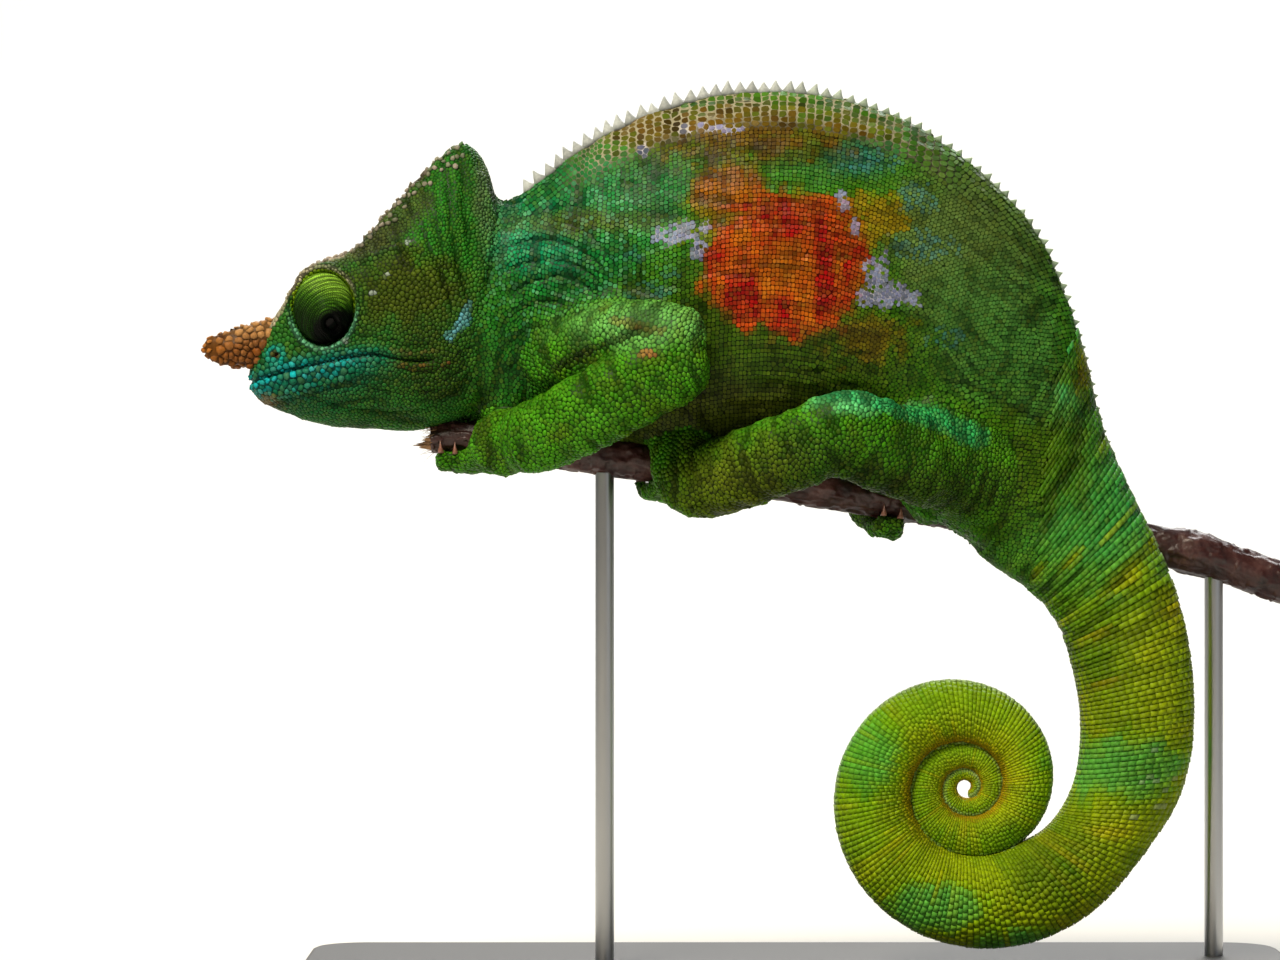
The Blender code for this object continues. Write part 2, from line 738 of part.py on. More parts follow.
def horn(name, side):
    """One horn of the snout: flattened, blunt and covered in warts."""
    draw = random.Random(5 + side)
    rings = []
    for r in range(HORN_RINGS + 1):
        row = along(HORN, (len(HORN) - 1) * r / HORN_RINGS)
        ring = []
        for k in range(HORN_SIDES):
            a = 2 * math.pi * k / HORN_SIDES
            rough = 1 + HORN_ROUGHNESS * draw.uniform(-1, 1)
            ring.append(Vector((row[0], side * row[1] + row[4] * math.sin(a) * rough,
                                row[2] + row[3] * math.cos(a) * rough)))
        rings.append(ring)
    body = loft(name, rings)
    warts = []
    for w in range(HORN_WARTS):
        row = along(HORN, WARTS_FIRST + WARTS_LENGTH * w / HORN_WARTS)
        a = draw.uniform(-0.5, math.pi + 0.5) if w % 2 else draw.uniform(0, 2 * math.pi)
        out = row[1] + row[4] * 0.85 * abs(math.sin(a))
        up = row[2] + row[3] * 0.9 * math.cos(a)
        size = WART_RADIUS * draw.uniform(0.7, 1.15)
        warts.append(ball("wart", (row[0], side * out, up), (size, size, size), 5, 3))
    combine(body, warts, "UNION")
    return keep_largest(body)


def split_parts(thing):
    """The closed bodies of a cut solid, each as an object of its own."""
    body = bmesh.new()
    body.from_mesh(thing.data)
    bmesh.ops.remove_doubles(body, verts=body.verts[:], dist=0.000002)
    groups = islands(body)
    parts = []
    for group in groups:
        if abs(group_volume(group)) * 1e9 < 20:
            continue
        seats = {}
        points = []
        faces = []
        for face in group:
            for vert in face.verts:
                if vert.index not in seats:
                    seats[vert.index] = len(points)
                    points.append(vert.co / MM)
            faces.append([seats[v.index] for v in face.verts])
        parts.append(solid("part", points, faces))
    body.free()
    drop([thing])
    return parts


def make_head():
    last = len(HEAD) - 1
    rings = []
    for r in range(HEAD_RINGS + 1):
        shift = -GAP / 2 if r == HEAD_RINGS else 0.0
        rings.append(head_ring(last * r / HEAD_RINGS, shift))
    whole = loft("head_whole", rings)
    combine(whole, [orbit_rim(-1), orbit_rim(1)], "UNION")
    cutters = [eye_ball(side, SOCKET_CLEAR) for side in (-1, 1)]
    for side in (-1, 1):
        nostril = (NOSTRIL[0], side * NOSTRIL[1], NOSTRIL[2])
        cutters.append(ball("nostril", nostril, (NOSTRIL_RADIUS * 1.3, NOSTRIL_RADIUS, NOSTRIL_RADIUS), 8, 6))
    cutters.append(sheet_cutter("casque_cut", (CASQUE_CUT_FRONT, CASQUE_CUT_REAR), GAP, CUT_REACH))
    cutters.append(sheet_cutter("mouth_cut", mouth_route(), GAP, CUT_REACH))
    for cutter in cutters:
        combine(whole, [cutter], "DIFFERENCE")
    parts = split_parts(whole)
    parts.sort(key=lambda p: -sum(v.co.z for v in p.data.vertices) / len(p.data.vertices))
    nodes = {}
    for part, name in zip(parts, ("casque", "head", "lower_jaw")):
        part.name = name
        nodes[name] = keep_largest(part)
        finish(part, name)
    for side, word in ((-1, "left"), (1, "right")):
        eye = eye_ball(side)
        eye.name = "eye_" + word
        x = EYE_X + PUPIL_OFFSET[0]
        z = EYE_Z - PUPIL_OFFSET[1]
        flat = 1 - (PUPIL_OFFSET[0] / EYE_RADII[0]) ** 2 - (PUPIL_OFFSET[1] / EYE_RADII[2]) ** 2
        y = side * (EYE_Y + EYE_RADII[1] * math.sqrt(flat))
        size = (PUPIL_RADIUS * 1.25, PUPIL_RADIUS, PUPIL_RADIUS)
        combine(eye, [ball("pupil", (x, y, z), size, 10, 8)], "DIFFERENCE")
        nodes[eye.name] = keep_largest(eye)
        finish(eye, "eye")
        cone = horn("horn_" + word, side)
        nodes[cone.name] = clear_of(cone, [nodes["head"]])
        finish(cone, "horn")
    return nodes


# Branch and stand

def branch_frame(t):
    """Centre, radius, axis, and the directions up from and out of the axis on the near side."""
    row = along(BRANCH, t)
    step = 0.05
    after = along(BRANCH, min(t + step, len(BRANCH) - 1))
    before = along(BRANCH, max(t - step, 0))
    axis = Vector(after[:3] - before[:3]).normalized()
    rise = (UP - axis * UP.dot(axis)).normalized()
    return Vector(row[:3]), row[3], axis, rise, axis.cross(rise)


def make_perch():
    draw = random.Random(11)
    rings = []
    last = len(BRANCH) - 1
    for r in range(BRANCH_RINGS + 1):
        t = last * r / BRANCH_RINGS
        centre, radius, axis, rise, out = branch_frame(t)
        radius += KNOT_SWELL * math.exp(-((t - KNOT_AT) / KNOT_SPREAD) ** 2)
        ring = []
        for k in range(BRANCH_SIDES):
            a = 2 * math.pi * k / BRANCH_SIDES
            rough = radius * (1 + BARK_ROUGHNESS * draw.uniform(-1, 1))
            ring.append(centre + (rise * math.cos(a) + out * math.sin(a)) * rough)
        rings.append(ring)
    perch = loft("perch", rings)
    centre, radius, axis, rise, out = branch_frame(0)
    splinters = []
    for s in range(SPLINTERS):
        a = 2 * math.pi * s / SPLINTERS + draw.uniform(-0.3, 0.3)
        seat = centre + (rise * math.cos(a) + out * math.sin(a)) * radius * 0.5
        tip = seat - axis * SPLINTER_LENGTH * draw.uniform(0.5, 1.0)
        splinters.append(spike("splinter", seat + axis * 2, tip, rise, 1.3, 0.9))
    combine(perch, splinters, "UNION")
    finish(perch, "perch")
    return keep_largest(perch)


def cylinder(name, x, y, low, high, radius, sides):
    rings = []
    for z in (low, high):
        turns = [2 * math.pi * k / sides for k in range(sides)]
        rings.append([Vector((x + radius * math.cos(a), y + radius * math.sin(a), z)) for a in turns])
    return loft(name, rings)


def base_outline(inset):
    """Corners of the base, rounded by quarter circles."""
    points = []
    for corner in range(4):
        sx = 1 if corner in (0, 3) else -1
        sy = 1 if corner in (0, 1) else -1
        cx = sx * (BASE_LENGTH / 2 - BASE_CORNER)
        cy = sy * (BASE_WIDTH / 2 - BASE_CORNER)
        for k in range(6):
            a = math.pi / 2 * (corner + k / 5)
            points.append((cx + (BASE_CORNER - inset) * math.cos(a), cy + (BASE_CORNER - inset) * math.sin(a)))
    return points


def make_stand(perch):
    layers = ((0.0, 0.0), (0.0, BASE_THICKNESS - BASE_EDGE), (BASE_EDGE, BASE_THICKNESS))
    rings = [[Vector((x, y, z)) for x, y in base_outline(inset)] for inset, z in layers]
    base = loft("stand_base", rings)
    finish(base, "stand")
    for name, x in (("stand_rod_front", ROD_FRONT_X), ("stand_rod_rear", ROD_REAR_X)):
        t = min(range(200), key=lambda k: abs(along(BRANCH, k / 20)[0] - x)) / 20
        centre = branch_frame(t)[0]
        rod = cylinder(name, x, centre.y, BASE_THICKNESS + GAP, centre.z, ROD_RADIUS, ROD_SIDES)
        clear_of(rod, [perch])
        finish(rod, "rod", 1.0)
    return base


# Limbs and feet

def tube_rings(rows, side, sides, count, round_start=True, round_end=True):
    """Rings along a limb, with round ends made by shrinking the end rings."""
    last = len(rows) - 1
    dense = [along(rows, last * k / 60) for k in range(61)]
    marks = [0.0]
    for k in range(60):
        marks.append(marks[-1] + float(np.linalg.norm(dense[k + 1][:3] - dense[k][:3])))
    total = marks[-1]
    start = dense[0][3] * END_LENGTH if round_start else 0.0
    end = dense[-1][3] * END_LENGTH if round_end else 0.0
    stations = []
    if round_start:
        stations += [(start * f, math.sqrt(1 - (1 - f) ** 2)) for f in ROUNDING]
    for k in range(count + 1):
        stations.append((start + (total - start - end) * k / count, 1.0))
    if round_end:
        stations += [(total - end * f, math.sqrt(1 - (1 - f) ** 2)) for f in reversed(ROUNDING)]
    rings = []
    for distance, scale in stations:
        t = float(np.interp(distance, marks, range(61))) / 60 * last
        row = along(rows, t)
        before = along(rows, max(0.0, t - 0.05))
        after = along(rows, min(last, t + 0.05))
        axis = Vector(after[:3] - before[:3])
        axis.y *= side
        axis.normalize()
        depth = (DEPTH - axis * DEPTH.dot(axis)).normalized()
        face = axis.cross(depth)
        centre = Vector((row[0], side * row[1], row[2]))
        ring = []
        for k in range(sides):
            a = 2 * math.pi * k / sides
            ring.append(centre + (face * row[3] * math.cos(a) + depth * row[4] * math.sin(a)) * scale)
        rings.append(ring)
    return rings


def toe(t, side, over, reach_angle, offset, lean):
    """One toe that curls round the branch, above it or below it, with its claw."""
    rings = []
    spine = []
    for r in range(TOE_RINGS + 1):
        share = r / TOE_RINGS
        angle = math.radians(TOE_START + (reach_angle - TOE_START) * share)
        centre, radius, axis, rise, out = branch_frame(t)
        near = out * (side if out.y > 0 else -side)
        fat = TOE_RADIUS * (1 - TOE_TAPER * share ** 2)
        reach = radius + GAP + fat * 0.92
        lift = rise if over else -rise
        spoke = near * math.cos(angle) + lift * math.sin(angle)
        middle = centre + spoke * reach + axis * (offset - lean * share)
        spine.append(middle)
        ring = []
        for k in range(TOE_SIDES):
            a = 2 * math.pi * k / TOE_SIDES
            ring.append(middle + (spoke * math.cos(a) + axis * math.sin(a)) * fat)
        rings.append(ring)
    body = loft("toe", rings)
    heading = (spine[-1] - spine[-2]).normalized()
    claw_tip = spine[-1] + (heading - spoke * CLAW_HOOK).normalized() * CLAW_LENGTH
    claw = spike("claw", spine[-1] - heading * CLAW_ROOT, claw_tip, axis, CLAW_RADIUS, CLAW_RADIUS)
    return [body, claw]


def make_foot(name, ankle_rows, neighbours):
    """A palm beside the branch, its toes above and below, and the ankle that joins it to the limb."""
    t, side, size, above, below = FEET[name]
    centre, radius, axis, rise, out = branch_frame(t)
    near = out * (side if out.y > 0 else -side)
    palm_radii = [r * size for r in PALM_RADII]
    palm_centre = centre + near * (radius + palm_radii[1] + 0.4)
    pieces = []
    for over, (count, reach_angle, lean, middle) in ((True, above), (False, below)):
        for k in range(count):
            offset = middle + (k - (count - 1) / 2) * TOE_PITCH * size
            pieces += toe(t, side, over, reach_angle, offset, lean)
    end = ankle_rows[-1]
    wrist = Vector((end[0], side * end[1], end[2]))
    start = wrist - (palm_centre - wrist).normalized() * 3
    ankle = [(start.x, side * start.y, start.z, end[3], end[4]),
             (palm_centre.x, side * palm_centre.y, palm_centre.z, palm_radii[2] * 0.9, palm_radii[1])]
    palm = ball(name, palm_centre, palm_radii, 10, 6)
    pieces.append(loft("ankle", tube_rings(ankle, side, 8, 2, False, True)))
    combine(palm, pieces, "UNION", "MANIFOLD")
    return clear_of(palm, neighbours, "MANIFOLD")


LIMBS = [
    ("foreleg", "left", -1, UPPER_ARM, FOREARM, "forefoot", ("neck", "torso_front")),
    ("foreleg", "right", 1, FAR_UPPER_ARM, FAR_FOREARM, "forefoot", ("neck", "torso_front")),
    ("hindleg", "left", -1, THIGH, SHANK, "hindfoot", ("torso_rear", "pelvis", "tail_base")),
    ("hindleg", "right", 1, FAR_THIGH, FAR_SHANK, "hindfoot", ("torso_rear", "pelvis", "tail_base")),
]
# What a foot stands clear of, besides its own leg, the trunk and the branch
BESIDE = {"forefoot": ("lower_jaw", "head", "forefoot_left"), "hindfoot": ("torso_front",)}


def make_limbs(nodes, perch):
    for kind, word, side, upper_rows, lower_rows, foot, roots in LIMBS:
        body = [nodes[root] for root in roots]
        upper = loft(f"{kind}_{word}_upper", tube_rings(upper_rows, side, LIMB_SIDES, LIMB_RINGS))
        clear_of(upper, body + [perch])
        lower = loft(f"{kind}_{word}_lower",
                     tube_rings(lower_rows, side, LIMB_SIDES, LIMB_RINGS, True, False))
        clear_of(lower, [upper, perch] + body)
        beside = [nodes[name] for name in BESIDE[foot] if name in nodes]
        tip = make_foot(f"{foot}_{word}", lower_rows, [perch, lower, upper] + body + beside)
        for thing in (upper, lower, tip):
            nodes[thing.name] = thing
            finish(thing, "limb")


def main():
    clear_scene()
    perch = make_perch()
    nodes = make_trunk()
    nodes.update(make_head())
    for name in ("neck", "torso_front", "torso_rear", "pelvis", "tail_base", "lower_jaw"):
        clear_of(nodes[name], [perch], "MANIFOLD")
    make_limbs(nodes, perch)
    make_stand(perch)


main()
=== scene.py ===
# A crested Parson's chameleon, life size, gripping a cut length of branch on a plain display stand.
# The head points to -X, the tail to +X and the animal's left side to -Y. Sizes are in millimetres.

import math

import bmesh
import bpy
import numpy as np
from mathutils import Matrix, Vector
from mathutils.bvhtree import BVHTree
from mathutils.kdtree import KDTree


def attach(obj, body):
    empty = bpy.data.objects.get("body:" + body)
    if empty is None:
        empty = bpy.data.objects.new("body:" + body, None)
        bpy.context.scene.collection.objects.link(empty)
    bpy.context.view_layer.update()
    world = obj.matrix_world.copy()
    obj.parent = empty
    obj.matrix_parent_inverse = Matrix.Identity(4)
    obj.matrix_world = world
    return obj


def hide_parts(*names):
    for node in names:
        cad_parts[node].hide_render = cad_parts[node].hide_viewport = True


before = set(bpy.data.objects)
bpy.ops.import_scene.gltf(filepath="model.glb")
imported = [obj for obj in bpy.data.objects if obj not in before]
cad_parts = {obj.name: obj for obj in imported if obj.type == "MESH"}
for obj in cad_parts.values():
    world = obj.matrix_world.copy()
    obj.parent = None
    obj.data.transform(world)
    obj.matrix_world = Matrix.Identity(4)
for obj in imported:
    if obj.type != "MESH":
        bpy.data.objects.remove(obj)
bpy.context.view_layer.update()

MM = 0.001
GAP = 0.30
DEPTH = np.array((0.0, 1.0, 0.0))
UP = np.array((0.0, 0.0, 1.0))

# Camera: level, a metre from the animal's left side
CAMERA_PLACE = (-33.6, -1000.0, 109.6)
CAMERA_LENS = 133.93
CAMERA_SENSOR = 36.0

# Branch: centre x, y, z and radius, from the broken tip to the cut end
BRANCH = [
    (-77.5, 0.0, 118.2, 2.7),
    (-69.5, 0.0, 118.5, 3.4),
    (-54.5, 0.0, 116.5, 4.0),
    (-40.0, 0.0, 114.5, 4.1),
    (-21.0, 0.0, 112.0, 4.1),
    (0.0, 2.0, 108.5, 4.1),
    (21.5, 9.0, 105.0, 4.1),
    (43.0, 15.0, 101.5, 4.1),
    (64.5, 17.0, 98.0, 4.1),
    (86.0, 17.5, 93.5, 4.3),
    (107.5, 19.0, 86.0, 4.2),
]

# Trunk from the neck to the start of the tail's coil, as pairs of points on the outline:
# back x, back z, belly x, belly z, half width
TRUNK = [
    (-63.5, 168.0, -69.0, 124.0, 9.6),
    (-56.5, 171.5, -62.0, 123.5, 10.5),
    (-46.0, 179.5, -50.5, 120.6, 13.0),
    (-33.5, 186.0, -34.5, 116.9, 16.0),
    (-19.0, 190.5, -20.0, 116.4, 18.0),
    (-4.0, 191.5, -7.5, 115.6, 18.5),
    (10.5, 189.5, 3.0, 115.2, 18.0),
    (25.0, 184.0, 12.5, 113.0, 16.5),
    (40.0, 173.0, 19.5, 107.5, 14.5),
    (50.5, 161.0, 25.0, 100.5, 13.0),
    (56.5, 147.0, 31.5, 97.5, 12.0),
    (60.5, 132.5, 37.5, 93.5, 11.5),
    (64.0, 119.0, 43.5, 89.5, 11.0),
    (69.5, 107.0, 49.5, 85.5, 10.4),
    (75.0, 95.5, 54.0, 80.0, 9.9),
    (79.5, 83.5, 56.5, 73.0, 9.4),
    (82.0, 71.0, 58.5, 64.5, 9.0),
    (82.5, 59.0, 59.0, 56.0, 8.7),
    (81.5, 50.0, 58.0, 47.5, 8.3),
    (78.0, 40.0, 55.0, 40.5, 8.0),
    (68.5, 26.5, 51.0, 36.0, 7.7),
]
# Row numbers of the outline: the coil's first one, the end of the back's keel, where the skin's tubes of body
# and tail overlap, and the ragged, sloping line along which the tail's rings take over from the flank's rows
FIRST_COIL_ROW = len(TRUNK)
KEEL_END = 13.0
KEEL_FADE = 3.0
BODY_END = 16.7
TAIL_START = 16.1
RINGS_START = 10.3
RINGS_SLOPE = 2.6
RINGS_RAGGED = 0.35
# Form of a ring: how sharp its back is, how full its belly, and how much wider it is below than above
KEEL = 0.45
BELLY_FULLNESS = 0.12
EGG = 0.10

# Tail coil: a logarithmic spiral. The clear is below 0 because each turn presses into the next one,
# and the opening is how far the first turn parts from them where it leaves the hanging tail
COIL_X = 34.8
COIL_Z = 45.2
COIL_RADIUS = 33.5
COIL_DECAY = 0.82
COIL_STEPS = 24
COIL_START = -3
COIL_TURNS = 2.96
COIL_CLEAR = -0.45
COIL_OPENING = 5.5
COIL_FLATNESS = 0.39
COIL_TIP = 0.10

# Head, from the front of the snout to the rear edge of the casque:
# top x, top z, bottom x, bottom z, height of the mouth line,
# then half widths at the jaw, the mouth, the cheek, the brow and the crown
HEAD = [
    (-115.5, 134.8, -115.5, 128.5, 130.4, 2.4, 3.0, 3.0, 2.6, 1.8),
    (-114.2, 138.0, -114.2, 126.8, 130.8, 4.2, 4.9, 5.0, 4.6, 3.4),
    (-112.1, 140.9, -112.1, 124.9, 131.5, 5.2, 6.0, 6.2, 5.8, 4.6),
    (-108.2, 146.8, -108.2, 123.5, 132.7, 6.4, 7.6, 7.8, 7.2, 6.0),
    (-103.9, 153.5, -103.9, 122.0, 133.6, 7.4, 8.8, 9.0, 8.4, 7.2),
    (-99.8, 155.6, -99.1, 120.7, 134.6, 8.2, 9.6, 9.4, 8.8, 7.4),
    (-94.5, 157.3, -94.5, 120.1, 135.4, 8.8, 10.2, 10.2, 9.2, 6.6),
    (-88.2, 163.8, -89.0, 119.9, 135.9, 9.2, 10.8, 11.2, 9.4, 5.0),
    (-83.0, 170.1, -84.0, 119.9, 134.8, 9.4, 11.0, 11.8, 9.4, 3.8),
    (-77.7, 175.6, -78.8, 120.1, 134.2, 9.2, 11.0, 12.0, 9.2, 3.2),
    (-72.5, 179.8, -74.8, 120.7, 133.6, 8.8, 10.8, 11.8, 9.0, 2.9),
    (-68.9, 180.0, -72.2, 122.0, 132.7, 8.6, 10.6, 11.4, 8.8, 2.9),
    (-65.5, 175.3, -70.3, 123.1, 132.3, 8.4, 10.2, 10.8, 8.4, 3.2),
    (-63.9, 170.1, -69.6, 123.9, 131.9, 8.0, 9.8, 10.2, 8.2, 3.6),
]
JAW_LEVEL = 0.45
UPPER_LEVELS = (0.35, 0.70, 0.96)

# Eyes: turrets of fused lids that bulge from their sockets. The gaze points ahead of and below the middle.
# The opening is an oval with this half angle in degrees, turned by this angle in radians
EYE = np.array((-99.6, 7.3, 145.4))
EYE_RADII = np.array((6.3, 6.6, 7.5))
GAZE_OFFSET = (2.7, 4.6)
APERTURE_TURN = -0.65
APERTURE = 24.0

# Nostrils and the paired warty horns of the snout: centre x, y, z, half height, half width
NOSTRIL = (-109.7, 135.7)
HORN = [
    (-107.6, 3.0, 137.4, 4.0, 1.9),
    (-110.8, 3.4, 138.0, 4.9, 2.2),
    (-115.0, 3.7, 137.8, 4.7, 2.2),
    (-119.0, 4.0, 137.2, 3.8, 2.0),
    (-122.5, 4.3, 137.0, 2.9, 1.6),
    (-124.9, 4.5, 137.4, 1.5, 1.0),
]

# The horns' tiles and the scales of the lids: spacing and height, and how uneven the tiles are
HORN_TILE = 2.3
HORN_TILE_HEIGHT = 0.34
HORN_TILE_UNEVEN = 0.58
LID_SCALE = 0.46
LID_SCALE_HEIGHT = 0.07

# Limbs: centre x, y, z, then half thickness in the side view and across it.
# y is the distance out from the body's middle plane
UPPER_ARM = [
    (-55.5, 4.0, 131.0, 8.5, 6.0),
    (-48.0, 12.0, 136.0, 7.2, 6.0),
    (-39.5, 18.0, 139.5, 6.6, 5.6),
    (-31.5, 22.5, 140.0, 6.8, 5.6),
    (-24.5, 24.8, 137.0, 8.0, 5.8),
    (-20.5, 25.0, 135.5, 8.2, 5.6),
]
FOREARM = [
    (-19.5, 25.5, 135.5, 8.0, 5.6),
    (-26.0, 25.0, 133.4, 8.4, 6.0),
    (-33.5, 24.0, 129.5, 8.4, 6.0),
    (-42.5, 21.5, 124.5, 8.3, 6.2),
    (-50.5, 17.5, 120.5, 7.9, 6.0),
    (-57.0, 13.5, 118.0, 7.6, 5.6),
]
FAR_UPPER_ARM = [
    (-55.5, 4.0, 131.0, 8.5, 6.0),
    (-49.0, 12.0, 135.0, 7.2, 6.0),
    (-42.0, 18.0, 137.5, 6.6, 5.6),
    (-35.0, 22.5, 137.5, 6.8, 5.6),
    (-29.5, 24.5, 134.5, 7.6, 5.8),
]
FAR_FOREARM = [
    (-29.0, 25.0, 133.0, 7.4, 5.6),
    (-38.0, 24.5, 128.0, 8.4, 6.0),
    (-48.0, 22.5, 123.5, 8.2, 6.2),
    (-57.5, 18.5, 120.5, 7.4, 5.8),
    (-64.0, 14.0, 119.0, 6.6, 5.0),
]
THIGH = [
    (45.0, 5.0, 109.5, 10.0, 6.5),
    (34.0, 11.0, 111.5, 10.2, 6.8),
    (23.0, 17.0, 114.5, 9.8, 6.6),
    (12.5, 22.0, 118.0, 9.6, 6.4),
    (8.0, 24.0, 120.5, 8.4, 6.0),
]
SHANK = [
    (9.0, 24.5, 121.0, 8.2, 5.8),
    (-1.0, 23.0, 116.0, 8.4, 6.2),
    (-8.0, 19.5, 113.5, 8.2, 6.2),
    (-16.0, 14.5, 110.5, 8.0, 6.0),
    (-20.0, 12.0, 109.6, 7.6, 5.6),
]
FAR_THIGH = [
    (45.0, 5.0, 109.5, 10.0, 6.5),
    (36.0, 12.5, 112.5, 10.0, 6.8),
    (27.0, 19.0, 116.5, 9.4, 6.6),
    (18.0, 24.5, 121.0, 8.8, 6.2),
    (12.0, 27.5, 124.0, 8.0, 5.8),
]
FAR_SHANK = [
    (10.5, 29.0, 124.5, 7.6, 5.6),
    (12.0, 28.5, 118.0, 7.8, 5.8),
    (15.0, 26.0, 112.0, 7.4, 5.8),
    (18.5, 22.0, 107.0, 6.8, 5.4),
    (19.5, 19.5, 105.5, 6.4, 5.2),
]
# A limb's round end in half thicknesses, the swelling of the near knee, and the pads under the near heels
END_LENGTH = 0.75
KNEE = [(8.8, 24.7, 120.4, 8.2, 6.2)]
HEEL_PADS = [((-20.0, -11.0, 109.4), (10.5, 5.6, 8.0))]

# Feet: two bundles of toes that close round the branch like tongs.
# row of the branch, side, palm size, then for the toes above and for those below:
# how many, how far round in degrees they reach, how far forward they lean, their middle's offset
FEET = {
    "forefoot_left": (1.55, -1, 1.0, (2, 84, 1.5, -0.5), (3, 96, 3.0, -1.5)),
    "forefoot_right": (1.02, 1, 0.8, (2, 112, -1.0, 4.6), (3, 146, 2.0, -0.8)),
    "hindfoot_left": (3.85, -1, 1.05, (3, 135, 4.0, -1.5), (2, 135, 6.0, -1.5)),
    "hindfoot_right": (5.95, 1, 1.0, (3, 120, 2.0, 0.0), (2, 150, 2.0, 0.0)),
}
TOE_RADIUS = 2.6
TOE_PITCH = 3.8
TOE_START = 8.0
TOE_TAPER = 0.42
PALM_RADII = (7.6, 4.2, 7.4)
CLAW_LENGTH = 1.9
CLAW_RADIUS = 0.95
CLAW_SINK = 1.0

# Crest: low cones along the back, largest in front
CREST_SPACING = 2.6
CREST_SPACING_TAIL = 2.9
CREST_FIRST_ROW = 0.9
CREST_FADE_ROW = 5.0
CREST_FADE_LENGTH = 1.5
CREST_LAST_ROW = 12.4
CREST_ROOT = 0.9
CREST_HEIGHT = 2.2
CREST_DROP = 1.3

# Stand
BASE_LENGTH = 210.0
BASE_WIDTH = 96.0
BASE_THICKNESS = 8.0
BASE_CORNER = 12.0
BASE_EDGE = 1.2
ROD_RADIUS = 2.0
ROD_FRONT_X = -41.0
ROD_REAR_X = 89.0

# Skin: the voxels that fuse its forms, and how far it lies inside the solids, under the coat
VOXEL = 0.92
SKIN_INSET = 0.16
TRUNK_ZONE, HEAD_ZONE, TAIL_ZONE, LIMB_ZONE, FOOT_ZONE = range(5)

# The mouth, from the front of the snout to its corner: x, z
MOUTH = [
    (-117.0, 129.4), (-112.5, 130.9), (-108.2, 132.1), (-101.3, 133.7), (-94.8, 135.0),
    (-89.2, 135.7), (-85.8, 135.1), (-82.3, 134.4), (-78.0, 134.4), (-75.4, 135.0),
]
# The ridge over the temple and the rear edge of the casque's flap: x, z
TEMPORAL_RIDGE = [
    (-95.0, 154.4), (-88.7, 157.0), (-82.1, 158.4), (-75.2, 155.0), (-70.6, 149.2), (-69.4, 141.7),
]
FLAP_EDGE = [
    (-66.6, 172.0), (-66.0, 166.0), (-65.8, 157.5), (-66.6, 147.0), (-68.5, 139.5),
    (-72.0, 132.5), (-77.0, 127.0),
]
# Folds of loose skin, each as x, z points of the side view, then its half width and depth
FOLDS = [
    ([(-41.2, 146.4), (-45.5, 150.4), (-51.0, 152.0), (-57.0, 150.5), (-63.0, 146.5)], 1.0, 1.1),
    ([(-39.6, 147.4), (-44.5, 152.8), (-51.0, 155.4), (-58.5, 154.6), (-64.5, 151.0)], 0.9, 1.0),
    ([(-38.0, 148.0), (-42.5, 154.8), (-49.5, 159.0), (-57.0, 159.4), (-63.5, 157.0)], 0.9, 0.8),
    ([(-36.0, 148.4), (-39.5, 155.5), (-45.5, 161.5), (-53.0, 164.0)], 0.8, 0.6),
    ([(-33.5, 149.0), (-34.0, 155.0), (-38.0, 161.5)], 0.8, 0.5),
    ([(-46.5, 144.5), (-52.5, 146.8), (-58.5, 145.0), (-63.5, 140.0)], 0.9, 0.9),
    ([(-50.5, 140.5), (-55.5, 141.5), (-60.5, 138.5), (-64.0, 133.0)], 0.9, 0.7),
    ([(-54.0, 136.0), (-58.5, 135.0), (-62.5, 130.5)], 0.8, 0.6),
    ([(-64.5, 163.0), (-58.0, 164.0), (-51.0, 166.5), (-42.0, 166.0)], 0.9, 0.5),
    ([(-64.0, 168.5), (-59.5, 168.0), (-55.0, 170.0)], 0.8, 0.5),
    ([(-60.5, 135.0), (-55.0, 131.0), (-48.0, 129.5)], 0.9, 0.5),
    ([(-22.6, 121.5), (-25.4, 127.0), (-25.0, 132.5)], 1.0, 0.8),
    ([(-19.0, 120.0), (-21.2, 125.0), (-20.2, 131.0)], 0.8, 0.5),
    ([(28.0, 130.0), (36.0, 129.0), (45.0, 124.0), (52.0, 121.0)], 1.0, 0.6),
    ([(38.0, 117.0), (44.0, 117.0), (50.0, 114.0)], 0.9, 0.6),
    ([(33.0, 106.0), (40.0, 109.0), (47.0, 113.0)], 0.9, 0.6),
    ([(30.0, 103.0), (39.0, 105.5), (48.0, 109.0)], 0.8, 0.5),
    ([(36.0, 99.5), (44.0, 103.0), (51.0, 105.0)], 0.8, 0.45),
]
